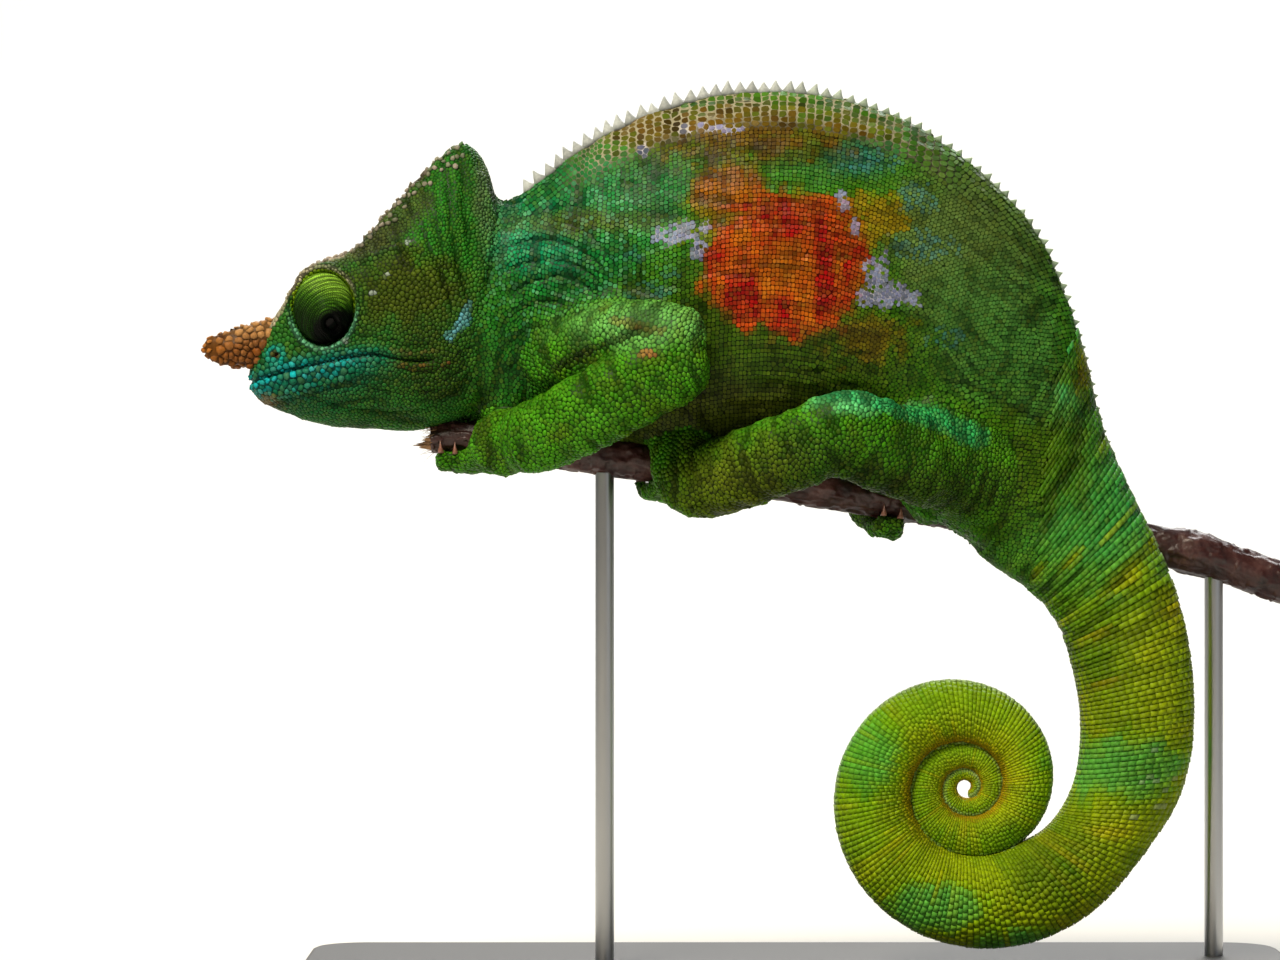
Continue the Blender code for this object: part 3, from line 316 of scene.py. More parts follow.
# Finer folds that fan down the head from the casque and run back round the jaw
HEAD_FOLDS = [
    ([(-71.2, 177.5), (-70.4, 169.0), (-69.3, 160.0), (-68.1, 152.0)], 0.5, 0.5),
    ([(-73.8, 176.0), (-73.5, 168.0), (-72.3, 158.5), (-70.4, 150.2), (-68.5, 143.5)], 0.5, 0.6),
    ([(-76.9, 173.0), (-76.1, 164.5), (-74.6, 157.0), (-72.3, 149.3)], 0.45, 0.5),
    ([(-80.7, 168.3), (-78.4, 160.6), (-75.7, 154.5), (-73.0, 147.6), (-72.7, 141.5)], 0.45, 0.6),
    ([(-84.5, 165.2), (-81.5, 159.9), (-78.4, 155.3)], 0.4, 0.35),
    ([(-89.1, 160.7), (-84.5, 157.6), (-80.0, 152.2)], 0.4, 0.35),
    ([(-93.7, 140.0), (-87.6, 138.9), (-81.5, 137.7), (-73.8, 138.1)], 0.4, 0.35),
    ([(-86.0, 133.9), (-79.9, 132.0), (-73.8, 132.8), (-69.2, 137.0), (-66.9, 142.3)], 0.45, 0.45),
    ([(-95.2, 130.1), (-86.0, 127.8), (-76.9, 128.2), (-70.8, 132.4), (-66.9, 138.5)], 0.5, 0.45),
    ([(-104.3, 127.8), (-95.2, 124.7), (-84.5, 123.6), (-75.4, 125.5), (-69.3, 130.1)], 0.5, 0.35),
]


def along(rows, t):
    """The Catmull-Rom values of a table of rows at fractional row numbers."""
    table = np.asarray(rows, float)
    t = np.atleast_1d(np.asarray(t, float))
    last = len(table) - 1
    i = np.clip(np.floor(t).astype(int), 0, last - 1)
    f = (t - i)[:, None]
    ends = np.vstack([2 * table[0] - table[1], table, 2 * table[-1] - table[-2]])
    p0, p1, p2, p3 = ends[i], ends[i + 1], ends[i + 2], ends[i + 3]
    square_term = (2 * p0 - 5 * p1 + 4 * p2 - p3) * f ** 2
    cube_term = (3 * p1 - p0 - 3 * p2 + p3) * f ** 3
    return 0.5 * (2 * p1 + (p2 - p0) * f + square_term + cube_term)


def unit(vectors):
    return vectors / np.maximum(np.linalg.norm(vectors, axis=-1, keepdims=True), 1e-9)


def ease(value, low, high):
    """0 below low, 1 above high and smooth between them."""
    f = np.clip((value - low) / (high - low), 0, 1)
    return f * f * (3 - 2 * f)


def bell(gap, width):
    """1 where the gap is 0, and next to nothing two widths away."""
    return np.exp(-(gap / width) ** 2)


def circle(count):
    """Even angles round a full turn."""
    return np.linspace(0, 2 * math.pi, count, endpoint=False)


def walked_along(line):
    """The distance along a line of points, up to each of them."""
    return np.concatenate([[0], np.cumsum(np.linalg.norm(np.diff(line, axis=0), axis=1))])


def walked_across(grid):
    """The distance along each row of a grid of points, up to each of them."""
    steps = np.linalg.norm(np.diff(grid, axis=1), axis=2)
    return np.concatenate([np.zeros((len(grid), 1)), np.cumsum(steps, axis=1)], axis=1)


def point_at(spot, walked, line):
    """The place on a line of points at a distance along it, or the places at several."""
    return np.stack([np.interp(spot, walked, line[:, axis]) for axis in range(line.shape[1])], -1)


def scatter_field(points, size, seed=0):
    """A smooth random field from -1 to 1 with bumps about `size` across. Primes mix each cell's numbers."""
    p = np.asarray(points, float) / size + seed * 19.7
    cell = np.floor(p).astype(np.int64)
    f = p - cell
    f = f * f * (3 - 2 * f)
    total = np.zeros(len(p))
    for corner in np.ndindex(2, 2, 2):
        c = cell + corner
        mixed = (c[:, 0] * 73856093) ^ (c[:, 1] * 19349663) ^ (c[:, 2] * 83492791)
        mixed = (mixed ^ (mixed >> 13)) * 1274126177
        value = ((mixed >> 7) & 0xFFFF) / 32767.5 - 1
        total += value * np.prod(np.where(corner, f, 1 - f), axis=1)
    return total


def rough_field(points, size, seed=0):
    """The same with smaller bumps on its bumps."""
    return 0.65 * scatter_field(points, size, seed) + 0.35 * scatter_field(points, size / 2.3, seed + 5)


def flat_places(first, second):
    """Places for a field over two coordinates, each counted in bumps."""
    return np.stack([first, second, 0 * first], -1)


# Forms of the body

def coil_outer(turn):
    return COIL_RADIUS * math.exp(-COIL_DECAY * turn)


def coil_row(step):
    """One pair of outline points of the coil, in the trunk table's form."""
    turn = step / COIL_STEPS
    outer = coil_outer(turn)
    inner = coil_outer(turn + 1) + COIL_CLEAR
    if turn < 0:
        inner += COIL_OPENING * (-4 * turn) ** 3.2
    left = COIL_TURNS - turn
    if left < COIL_TIP:
        shrink = math.sqrt(max(0.0, 1 - (1 - left / COIL_TIP) ** 2))
        middle = (outer + inner) / 2
        outer = middle + (outer - middle) * shrink
        inner = middle + (inner - middle) * shrink
    angle = -math.pi / 2 - 2 * math.pi * turn
    across = (math.cos(angle), math.sin(angle))
    back = (COIL_X + across[0] * outer, COIL_Z + across[1] * outer)
    belly = (COIL_X + across[0] * inner, COIL_Z + across[1] * inner)
    return (*back, *belly, (outer - inner) * COIL_FLATNESS)


OUTLINE = TRUNK + [coil_row(step) for step in range(COIL_START, int(COIL_TURNS * COIL_STEPS) + 1)]
LAST_ROW = len(OUTLINE) - 1


def trunk_rings(rows, angles):
    """Rings of the trunk and tail. Angle 0 is the back and a half turn the belly."""
    row = along(OUTLINE, rows)[:, None, :]
    rise, side = np.cos(angles)[None, :], np.sin(angles)[None, :]
    keel = KEEL * np.clip((KEEL_END - np.asarray(rows)) / KEEL_FADE, 0, 1)[:, None]
    narrow = 1 + keel * np.maximum(0, rise) - BELLY_FULLNESS * np.maximum(0, -rise)
    width = np.sign(side) * np.abs(side) ** narrow * row[..., 4] * (1 - EGG * rise)
    x = (row[..., 0] + row[..., 2]) / 2 + (row[..., 0] - row[..., 2]) / 2 * rise
    z = (row[..., 1] + row[..., 3]) / 2 + (row[..., 1] - row[..., 3]) / 2 * rise
    return np.stack([x, width, z], -1)


def head_half_rings(rows, count):
    """The left half of rings of the head, from the middle of the throat to the middle of the crown."""
    rings = []
    for row in along(HEAD, rows):
        share = (row[4] - row[3]) / (row[1] - row[3])
        heights = [0, share * JAW_LEVEL, share] + [share + (1 - share) * f for f in UPPER_LEVELS] + [1]
        widths = [0, *row[5:10], 0]
        half = list(zip(heights, widths))
        outline = [half[1][:1] + (-half[1][1],)] + half + [half[-2][:1] + (-half[-2][1],)]
        profile = along(outline, np.linspace(1, len(half), count))
        x = row[2] + (row[0] - row[2]) * profile[:, 0]
        z = row[3] + (row[1] - row[3]) * profile[:, 0]
        rings.append(np.stack([x, -np.maximum(profile[:, 1], 0), z], -1))
    return np.array(rings)


def mirrored(points):
    return points * (1, -1, 1)


def tube_rings(rows, side, stations, sides, round_start=True, round_end=True):
    """Rings along a limb, closer together towards its ends, which may be round."""
    samples = np.linspace(0, len(rows) - 1, 121)
    fine = along(rows, samples)
    marks = walked_along(fine[:, :3])
    share = np.linspace(0, 1, stations)
    share = share - 0.6 * np.sin(2 * math.pi * share) / (2 * math.pi)
    distance = share * marks[-1]
    row = along(rows, np.interp(distance, marks, samples))
    scale = np.ones(stations)
    starts = (round_start, fine[0], distance)
    ends = (round_end, fine[-1], marks[-1] - distance)
    for wanted, end, from_end in (starts, ends):
        if wanted:
            f = np.clip(from_end / (end[3] * END_LENGTH), 0, 1)
            scale *= np.sqrt(1 - (1 - f) ** 2)
    centre = row[:, :3] * (1, side, 1)
    axis = unit(np.gradient(centre, axis=0))
    depth = unit(DEPTH - axis * (axis @ DEPTH)[:, None])
    face = np.cross(axis, depth)
    cos, sin = np.cos(circle(sides))[None, :, None], np.sin(circle(sides))[None, :, None]
    spokes = face[:, None] * row[:, None, 3:4] * cos + depth[:, None] * row[:, None, 4:5] * sin
    return centre[:, None] + spokes * np.maximum(scale, 0.02)[:, None, None]


def ball_rings(centre, radii, stations, sides):
    """Rings of an ellipsoid with its poles on X."""
    a = np.linspace(0.02, math.pi - 0.02, stations)[:, None]
    b = circle(sides)[None, :]
    shape = np.stack([np.cos(a) + 0 * b, np.sin(a) * np.cos(b), np.sin(a) * np.sin(b)], -1)
    return np.asarray(centre) + shape * radii


def branch_frame(t):
    """Centre, radius, axis, and the directions up from and out of the axis on the near side."""
    row = along(BRANCH, t)[0]
    after = along(BRANCH, min(t + 0.05, len(BRANCH) - 1))[0]
    before = along(BRANCH, max(t - 0.05, 0))[0]
    axis = unit(after[:3] - before[:3])
    rise = unit(UP - axis * (UP @ axis))
    return row[:3], row[3], axis, rise, np.cross(axis, rise)


def toe_rings(t, side, over, reach_angle, offset, lean):
    """One toe that curls round the branch, with the root and the heading of its claw."""
    centre, radius, axis, rise, out = branch_frame(t)
    near = out * (side if out[1] > 0 else -side)
    lift = rise if over else -rise
    turns = circle(16)
    rings = []
    for share in np.linspace(0, 1, 17):
        angle = math.radians(TOE_START + (reach_angle - TOE_START) * share)
        fat = TOE_RADIUS * (1 - TOE_TAPER * share ** 2)
        spoke = near * math.cos(angle) + lift * math.sin(angle)
        middle = centre + spoke * (radius + GAP + fat * 0.92) + axis * (offset - lean * share)
        knuckle = 1 + 0.06 * math.cos(share * 3 * 2 * math.pi)
        end = math.sqrt(max(0.05, 1 - max(0, (share - 0.86) / 0.14) ** 2))
        ring = [middle + (spoke * math.cos(a) + axis * math.sin(a)) * fat * knuckle * end for a in turns]
        rings.append(ring)
    rings = np.array(rings)
    heading = unit(rings[-1].mean(0) - rings[-3].mean(0))
    return rings, (rings[-1].mean(0), heading, -spoke)


LIMBS = [
    ("foreleg", "left", -1, UPPER_ARM, FOREARM, "forefoot"),
    ("foreleg", "right", 1, FAR_UPPER_ARM, FAR_FOREARM, "forefoot"),
    ("hindleg", "left", -1, THIGH, SHANK, "hindfoot"),
    ("hindleg", "right", 1, FAR_THIGH, FAR_SHANK, "hindfoot"),
]


def limb_tubes(upper, lower, side):
    """A bent foreleg is two lengths; a hind leg runs in one curve over the knee."""
    if upper in (UPPER_ARM, FAR_UPPER_ARM, FAR_THIGH):
        return [tube_rings(upper, side, 46, 44), tube_rings(lower, side, 46, 44, True, False)]
    return [tube_rings(upper[:-1] + KNEE + lower[1:], side, 90, 48, True, False)]


def limb_forms():
    """Every limb's and foot's tubes with their zone and group number, and the claws' roots."""
    forms = []
    claws = []
    for group, (kind, word, side, upper, lower, foot) in enumerate(LIMBS):
        forms += [(rings, LIMB_ZONE, group) for rings in limb_tubes(upper, lower, side)]
        t, side, size, above, below = FEET[f"{foot}_{word}"]
        centre, radius, axis, rise, out = branch_frame(t)
        near = out * (side if out[1] > 0 else -side)
        palm_radii = np.array(PALM_RADII) * size
        palm = centre + near * (radius + palm_radii[1] + 0.4)
        forms.append((ball_rings(palm, palm_radii, 24, 28), FOOT_ZONE, group))
        end = np.array(lower[-1][:3]) * (1, side, 1)
        start = end - unit(palm - end) * 3
        ankle = [(start[0], side * start[1], start[2], lower[-1][3], lower[-1][4]),
                 (palm[0], side * palm[1], palm[2], palm_radii[2] * 0.9, palm_radii[1])]
        forms.append((tube_rings(ankle, side, 20, 36, False, True), FOOT_ZONE, group))
        for over, (count, reach_angle, lean, middle) in ((True, above), (False, below)):
            for k in range(count):
                offset = middle + (k - (count - 1) / 2) * TOE_PITCH * size
                rings, claw = toe_rings(t, side, over, reach_angle, offset, lean)
                forms.append((rings, FOOT_ZONE, group))
                claws.append(claw)
    forms += [(ball_rings(centre, radii, 24, 32), LIMB_ZONE, 2) for centre, radii in HEEL_PADS]
    return forms, claws


# Meshes

def loft_faces(count, sides, first=0, caps=True):
    """Faces of a tube through rings of equal point counts."""
    k = np.arange(sides)
    starts = first + np.arange(count - 1)[:, None] * sides
    following = (k + 1) % sides
    quads = np.stack([starts + k, starts + following, starts + following + sides, starts + k + sides], -1)
    faces = quads.reshape(-1, 4).tolist()
    if caps:
        faces.append(list(range(first + sides - 1, first - 1, -1)))
        faces.append(list(range(first + (count - 1) * sides, first + count * sides)))
    return faces


def new_object(name, data):
    thing = bpy.data.objects.new(name, data)
    bpy.context.scene.collection.objects.link(thing)
    return thing


def mesh_object(name, points, faces):
    mesh = bpy.data.meshes.new(name)
    mesh.from_pydata((np.asarray(points, float) * MM).tolist(), [], faces)
    mesh.update()
    return new_object(name, mesh)


def tubes_object(name, tubes):
    """One object of closed tubes that may pass through one another."""
    points = []
    faces = []
    for rings in tubes:
        first = sum(len(p) for p in points)
        faces += loft_faces(rings.shape[0], rings.shape[1], first)
        points.append(rings.reshape(-1, 3))
    return mesh_object(name, np.vstack(points), faces)


def read_back(items, field, width, kind=np.float32):
    """One field of a mesh's points, edges or triangles, in a row for each."""
    flat = np.empty(len(items) * width, kind)
    items.foreach_get(field, flat)
    return flat.reshape(-1, width)


def mesh_points(mesh):
    return read_back(mesh.vertices, "co", 3).astype(float) / MM


def mesh_edges(mesh):
    return read_back(mesh.edges, "vertices", 2, np.int32)


def set_points(mesh, points):
    mesh.vertices.foreach_set("co", (np.asarray(points) * MM).astype(np.float32).ravel())
    mesh.update()


def relaxed(points, edges, rounds, strength=0.5):
    """Points moved towards the middle of their neighbours."""
    count = np.bincount(edges.ravel(), minlength=len(points))[:, None]
    for _ in range(rounds):
        total = np.zeros_like(points)
        for axis in range(3):
            total[:, axis] += np.bincount(edges[:, 0], points[edges[:, 1], axis], len(points))
            total[:, axis] += np.bincount(edges[:, 1], points[edges[:, 0], axis], len(points))
        points = points + strength * (total / np.maximum(count, 1) - points)
    return points


def applied(thing):
    """The object with its modifiers turned into plain mesh."""
    bpy.context.view_layer.update()
    shape = thing.evaluated_get(bpy.context.evaluated_depsgraph_get())
    mesh = bpy.data.meshes.new_from_object(shape)
    thing.modifiers.clear()
    thing.data = mesh
    return thing


def smooth_outwards(thing):
    """Turns the faces of a closed mesh outwards and shades it smooth."""
    work = bmesh.new()
    work.from_mesh(thing.data)
    bmesh.ops.recalc_face_normals(work, faces=work.faces[:])
    work.to_mesh(thing.data)
    work.free()
    thing.data.shade_smooth()


def route_distance(points, route):
    """Distance in the side view from each point to a route of x, z points, and the share of its length."""
    flat = points[:, (0, 2)]
    route = along(route, np.linspace(0, len(route) - 1, 8 * (len(route) - 1) + 1))
    best = np.full(len(flat), 1e9)
    share = np.zeros(len(flat))
    for k in range(len(route) - 1):
        start, step = route[k], route[k + 1] - route[k]
        f = np.clip(((flat - start) @ step) / max(step @ step, 1e-9), 0, 1)
        gap = np.linalg.norm(flat - start - f[:, None] * step, axis=1)
        nearer = gap < best
        best[nearer] = gap[nearer]
        share[nearer] = (k + f[nearer]) / (len(route) - 1)
    return best, share


def nearest(tree, points):
    """Index of the nearest stored point, and its distance, for each point."""
    found = [tree.find(p) for p in points]
    return np.array([f[1] for f in found]), np.array([f[2] for f in found])


def tree_of(points):
    """The points in a tree that finds the nearest ones."""
    tree = KDTree(len(points))
    for k, point in enumerate(points):
        tree.insert(point, k)
    tree.balance()
    return tree


# Guides: dense points of every form, with what the skin and the scales there need to know.
# Each set holds points, zone, direction of the lie, place on the unwrapped skin, row and depth from the back

HEAD_ROW_LENGTH = 4
HEAD_UNWRAP_START = -70
RING_STEP = 1.1
FORM_SPACING = 60
FORMS_IN_ROW = 9


def lie_of(rings):
    """The direction in which the scales point: along the form."""
    return unit(np.gradient(rings, axis=0))


def trunk_guides():
    """Guides of the trunk and tail, whose zones meet along a ragged, sloping line."""
    rows = np.linspace(0, LAST_ROW, 1500)
    rings = trunk_rings(rows, circle(96))
    around = walked_across(rings)
    total = around[:, -1:] + np.linalg.norm(rings[:, :1] - rings[:, -1:], axis=2)
    back = np.minimum(around, total - around)
    ragged = rough_field(rings.reshape(-1, 3), 4.0, 19).reshape(around.shape) * RINGS_RAGGED
    starts = RINGS_START + RINGS_SLOPE * ease(back / total, 0.05, 0.5) + ragged
    zone = np.where(rows[:, None] < starts, TRUNK_ZONE, TAIL_ZONE)
    walked = walked_along(rings.mean(1))
    unwrap = np.stack([walked[:, None] + 0 * around, around - total / 2], -1)
    return rings, zone, lie_of(rings), unwrap, rows[:, None] + 0 * around, back


def head_guides(rows, half):
    """Guides of one half of the head, whose depth is measured from the crown."""
    up = walked_across(half)
    back = up[:, -1:] - up
    level = rows[:, None] * HEAD_ROW_LENGTH + 0 * up + HEAD_UNWRAP_START
    unwrap = np.stack([level, back * np.sign(half[:, 20:21, 1])], -1)
    return half, np.full(up.shape, HEAD_ZONE), lie_of(half), unwrap, rows[:, None] + 0 * up, back


def form_guides(number, rings, zone_number, group):
    """Guides of one length of a limb, a palm or a toe. Their row is the limb's group."""
    around = np.arange(rings.shape[1])[None, :] * RING_STEP + np.zeros((rings.shape[0], 1))
    walk = walked_along(rings.mean(1))[:, None] + 0 * around
    column, line = number % FORMS_IN_ROW, number // FORMS_IN_ROW
    unwrap = np.stack([walk + FORM_SPACING * column, around + FORM_SPACING * line], -1)
    return rings, np.full(around.shape, zone_number), lie_of(rings), unwrap, group + 0 * around, walk


def guides(forms):
    """Every guide's values, in one array for each kind."""
    head_rows = np.linspace(0, len(HEAD) - 1, 110)
    left = head_half_rings(head_rows, 70)
    sets = [trunk_guides()] + [head_guides(head_rows, half) for half in (left, mirrored(left))]
    sets += [form_guides(k, *form) for k, form in enumerate(forms)]
    return [np.concatenate([s[i].reshape(-1, *s[i].shape[2:]) for s in sets]) for i in range(6)]


LIMB_FORMS, CLAW_ROOTS = limb_forms()
GUIDE_POINTS, GUIDE_ZONE, GUIDE_LIE, GUIDE_UNWRAP, GUIDE_ROW, GUIDE_BACK = guides(LIMB_FORMS)
GUIDE_TREE = tree_of(GUIDE_POINTS)


def guide_of(points):
    """Index of the guide nearest to each point."""
    return nearest(GUIDE_TREE, points)[0]


# Skin

def orbit_share(points):
    """How far from the eye's centre each point lies in the side view, 1 on the turret's outline."""
    x = (points[:, 0] - EYE[0]) / EYE_RADII[0]
    z = (points[:, 2] - EYE[2]) / EYE_RADII[2]
    return np.hypot(x, z)


def unwrapped(points, normals, seat):
    """Each point's place on the unwrapped skin: along the lie, then across it."""
    away = points - GUIDE_POINTS[seat]
    lie = GUIDE_LIE[seat]
    across = np.cross(normals, lie)
    return GUIDE_UNWRAP[seat] + np.stack([np.sum(away * lie, -1), np.sum(away * across, -1)], -1)


def crease_lines(flat, along_size, across_size, seed):
    """Thin wandering lines, 1 in their middle and 0 away from them."""
    places = flat_places(flat[:, 0] / along_size, flat[:, 1] / across_size)
    return ease(1 - np.abs(rough_field(places, 1.0, seed)), 0.86, 1.0)


def below_mouth(p):
    """How far each point lies below the line of the mouth, in millimetres."""
    return np.interp(p[:, 0], *np.transpose(MOUTH)) - p[:, 2]


def head_stripes(p):
    """Fine folds of the head: level ones along the jaw, steep ones on the casque."""
    gap = route_distance(p, MOUTH)[0]
    jaw = ease(below_mouth(p), 1.5, 4.0)
    level = scatter_field(flat_places(p[:, 0] / 7.0, gap / 1.1), 1.0, 121)
    steep = scatter_field(flat_places((p[:, 0] + 0.30 * p[:, 2]) / 1.2, p[:, 2] / 9.0), 1.0, 122)
    return jaw * level + (1 - jaw) * ease(p[:, 2], 146, 156) * steep


def wrinkles(p, flat, seat):
    """Soft folds in millimetres: across the lie, strongest on limbs and neck, and along it on the flanks."""
    zone = GUIDE_ZONE[seat]
    row = GUIDE_ROW[seat]
    places = flat_places(flat[:, 0] / 1.5, flat[:, 1] / 6.0)
    fold = 0.8 * scatter_field(places, 1.0, 111) + 0.5 * scatter_field(places * (0.4, 0.8, 1), 1.0, 112)
    trunk = 0.30 + 0.60 * (1 - ease(row, 2.5, 5.0)) + 0.5 * ease(row, 8.5, 10.0)
    tail = 0.80 * (1 - ease(row, 13.0, 17.0)) + 0.10
    head = zone == HEAD_ZONE
    fold[head] = head_stripes(p[head])
    level = scatter_field(flat_places(flat[:, 0] / 8.0, flat[:, 1] / 1.15), 1.0, 113)
    flank = (zone == TRUNK_ZONE) * ease(row, 2.0, 4.0) * (1 - ease(row, 9.5, 11.5))
    return 0.46 * fold * np.choose(zone, (trunk, 0.85, tail, 1.15, 0.9)) + 0.22 * flank * level


def creases(flat, seat):
    """Thin crease lines, 1 in their middle, where the coat gets painted shade and lower scales: across the
    lie, and along it too. The tail has none.
    """
    zone = GUIDE_ZONE[seat]
    upright = crease_lines(flat, 2.4, 8.0, 101)
    level = crease_lines(flat, 8.0, 2.8, 103)
    neck = (zone == TRUNK_ZONE) * (1 - ease(GUIDE_ROW[seat], 2.0, 4.5))
    across = np.choose(zone, (0.5, 0.45, 0.0, 0.8, 0.7)) + 0.4 * neck
    lengthwise = np.choose(zone, (0.7, 0.4, 0.0, 0.6, 0.5))
    return np.clip(upright * across + level * lengthwise, 0, 1)


def fold_depth(points, seat):
    """1 in the depth of each fold of loose skin."""
    depth = np.zeros(len(points))
    for zone, folds in ((TRUNK_ZONE, FOLDS), (HEAD_ZONE, HEAD_FOLDS)):
        here = np.flatnonzero(GUIDE_ZONE[seat] == zone)
        for route, width, deep in folds:
            gap, share = route_distance(points[here], route)
            ends = ease(share, 0, 0.2) * (1 - ease(share, 0.7, 1.0))
            depth[here] = np.maximum(depth[here], ends * min(1, 1.3 * deep) * bell(gap, 0.6 * width))
    return depth


def nostril_gap(p):
    return np.hypot(p[:, 0] - NOSTRIL[0], p[:, 2] - NOSTRIL[1])


def carved_head(p, normals):
    """Lips and the line of the mouth, temporal ridge, folds, the casque's rear edge, orbit and nostril."""
    side_facing = ease(np.abs(normals[:, 1]), 0.15, 0.5)
    facing = np.maximum(side_facing, ease(-p[:, 0], 110, 113))
    gap, share = route_distance(p, MOUTH)
    lips = 0.30 * bell(gap - 1.15, 0.75) - 0.75 * bell(gap, 0.42)
    bump = lips * (1 - ease(share, 0.88, 1.0)) * facing
    gap, share = route_distance(p, TEMPORAL_RIDGE)
    bump += 0.55 * bell(gap, 0.95) * side_facing * ease(share, 0, 0.1)
    for route, width, depth in HEAD_FOLDS:
        gap, share = route_distance(p, route)
        bump -= depth * bell(gap, width) * side_facing * ease(share, 0, 0.15) * (1 - ease(share, 0.8, 1))
    gap, share = route_distance(p, FLAP_EDGE)
    bump += 0.5 * bell(gap - 1.0, 1.2) * side_facing * (1 - ease(share, 0.35, 0.6))
    orbit = orbit_share(p)
    bump += side_facing * (0.75 * bell(orbit - 1.17, 0.09) - 2.6 * ease(-orbit, -1.12, -0.98))
    pit = nostril_gap(p)
    return bump + side_facing * (0.3 * bell(pit - 1.25, 0.5) - 1.1 * bell(pit, 0.62))


def carved_trunk(p, normals):
    """Folds of loose skin, the hollow behind the casque and the body's gentle unevenness."""
    bump = np.zeros(len(p))
    for route, width, depth in FOLDS:
        gap, share = route_distance(p, route)
        ends = ease(share, 0, 0.2) * (1 - ease(share, 0.75, 1.0)) * (0.85 + 0.15 * rough_field(p, 9.0, 23))
        edge = 0.30 * depth * bell(gap - 1.3 * width, 0.7 * width)
        bump += ends * (edge - 0.8 * depth * bell(gap, 0.5 * width))
    gap, share = route_distance(p, FLAP_EDGE)
    bump -= 0.9 * bell(gap, 1.1) * (1 - ease(share, 0.3, 0.55))
    bump += 0.16 * rough_field(p * (1.0, 1.0, 0.45), 5.0, 3)
    return bump * ease(np.abs(normals[:, 1]), 0.2, 0.6)


def carved(points, normals, zones):
    """How far the skin stands out from its plain form, in millimetres."""
    move = np.zeros(len(points))
    for zone, carve in ((HEAD_ZONE, carved_head), (TRUNK_ZONE, carved_trunk)):
        here = zones == zone
        move[here] += carve(points[here], normals[here])
    return move


def narrowed(rings, amounts):
    """Rings drawn in towards their middles."""
    middle = rings.mean(1, keepdims=True)
    return middle + (rings - middle) * (1 - 0.12 * np.asarray(amounts)[:, None, None])


def with_fillets(points, edges):
    """Softens the skin where a limb leaves the body, and where the head meets the neck."""
    limb_tree = tree_of(np.vstack([rings.reshape(-1, 3)[::3] for rings, zone, group in LIMB_FORMS]))
    body = (GUIDE_ZONE == TRUNK_ZONE) | (GUIDE_ZONE == HEAD_ZONE)
    body_tree = tree_of(GUIDE_POINTS[body][::3])
    limb_gap = nearest(limb_tree, points)[1]
    body_gap = nearest(body_tree, points)[1]
    shoulder = (limb_gap < 3.4) & (body_gap < 3.4) & (points[:, 2] > 121)
    hip = (limb_gap < 9.0) & (body_gap < 9.0) & (points[:, 0] > 27)
    nape = (points[:, 0] > -73) & (points[:, 0] < -60) & (points[:, 2] < 160) & (points[:, 2] > 126)
    for near, rounds in ((shoulder, 60), (hip, 260), (nape, 60)):
        weight = relaxed(near.astype(float)[:, None] * np.ones(3), edges, 10)
        points = points + (relaxed(points, edges, rounds) - points) * np.clip(weight, 0, 1)
    return points


def detailed_points(points):
    """Where the skin needs smaller faces: round the mouth, the eyes and the nostrils."""
    gap = route_distance(points, MOUTH)[0]
    orbit = orbit_share(points)
    near = (gap < 2.8) | ((orbit > 0.8) & (orbit < 1.45)) | (nostril_gap(points) < 2.5)
    return near & (points[:, 0] < -73) & (np.abs(points[:, 1]) > 2.2)


def fused_body():
    """The trunk, head, limbs and feet, run into one closed mesh by small voxels."""
    rows = np.linspace(0.02, BODY_END, 260)
    angles = circle(110)
    trunk = narrowed(trunk_rings(rows, angles), ease(rows, TAIL_START + 0.35, BODY_END))
    left = head_half_rings(np.linspace(0, len(HEAD) - 1, 120), 56)
    head = np.concatenate([left, mirrored(left)[:, ::-1][:, 1:-1]], axis=1)
    skin = tubes_object("skin", [trunk, head] + [rings for rings, zone, group in LIMB_FORMS])
    remesh = skin.modifiers.new("fuse", "REMESH")
    remesh.mode = "VOXEL"
    remesh.voxel_size = VOXEL * MM
    return applied(skin)


def split_finer(mesh):
    """Halves the faces where the head has its finest forms."""
    detailed = detailed_points(mesh_points(mesh))
    work = bmesh.new()
    work.from_mesh(mesh)
    chosen = [e for e in work.edges if detailed[e.verts[0].index] and detailed[e.verts[1].index]]
    bmesh.ops.subdivide_edges(work, edges=chosen, cuts=1, use_grid_fill=True)
    work.to_mesh(mesh)
    work.free()


def tail_tube():
    """Rings of the skin of the hanging tail and its coil, whose root is drawn in inside the body's skin."""
    rows = np.linspace(TAIL_START, LAST_ROW, 460)
    rings = trunk_rings(rows, circle(24))
    middle = rings.mean(1, keepdims=True)
    radius = np.linalg.norm(rings - middle, axis=2, keepdims=True)
    rings = middle + (rings - middle) * (1 - SKIN_INSET / radius)
    return narrowed(rings, 1 - ease(rows, TAIL_START, TAIL_START + 0.15))


def make_skin():
    """The body, limbs and feet run into one another, and the tail carries on from them."""
    body = fused_body()
    points = relaxed(mesh_points(body.data), mesh_edges(body.data), 5)
    set_points(body.data, with_fillets(points, mesh_edges(body.data)))
    split_finer(body.data)
    points = relaxed(mesh_points(body.data), mesh_edges(body.data), 2)
    set_points(body.data, points)
    normals = read_back(body.data.vertex_normals, "vector", 3).astype(float)
    seat = guide_of(points)
    flat = unwrapped(points, normals, seat)
    move = carved(points, normals, GUIDE_ZONE[seat]) + wrinkles(points, flat, seat)
    points = points + normals * (move - SKIN_INSET)[:, None]
    tail = tail_tube()
    faces = [list(p.vertices) for p in body.data.polygons] + loft_faces(len(tail), tail.shape[1], len(points))
    bpy.data.objects.remove(body, do_unlink=True)
    skin = mesh_object("skin", np.vstack([points, tail.reshape(-1, 3)]), faces)
    smooth_outwards(skin)
    return skin


# Where the scales grow

NECK_START = -58.0
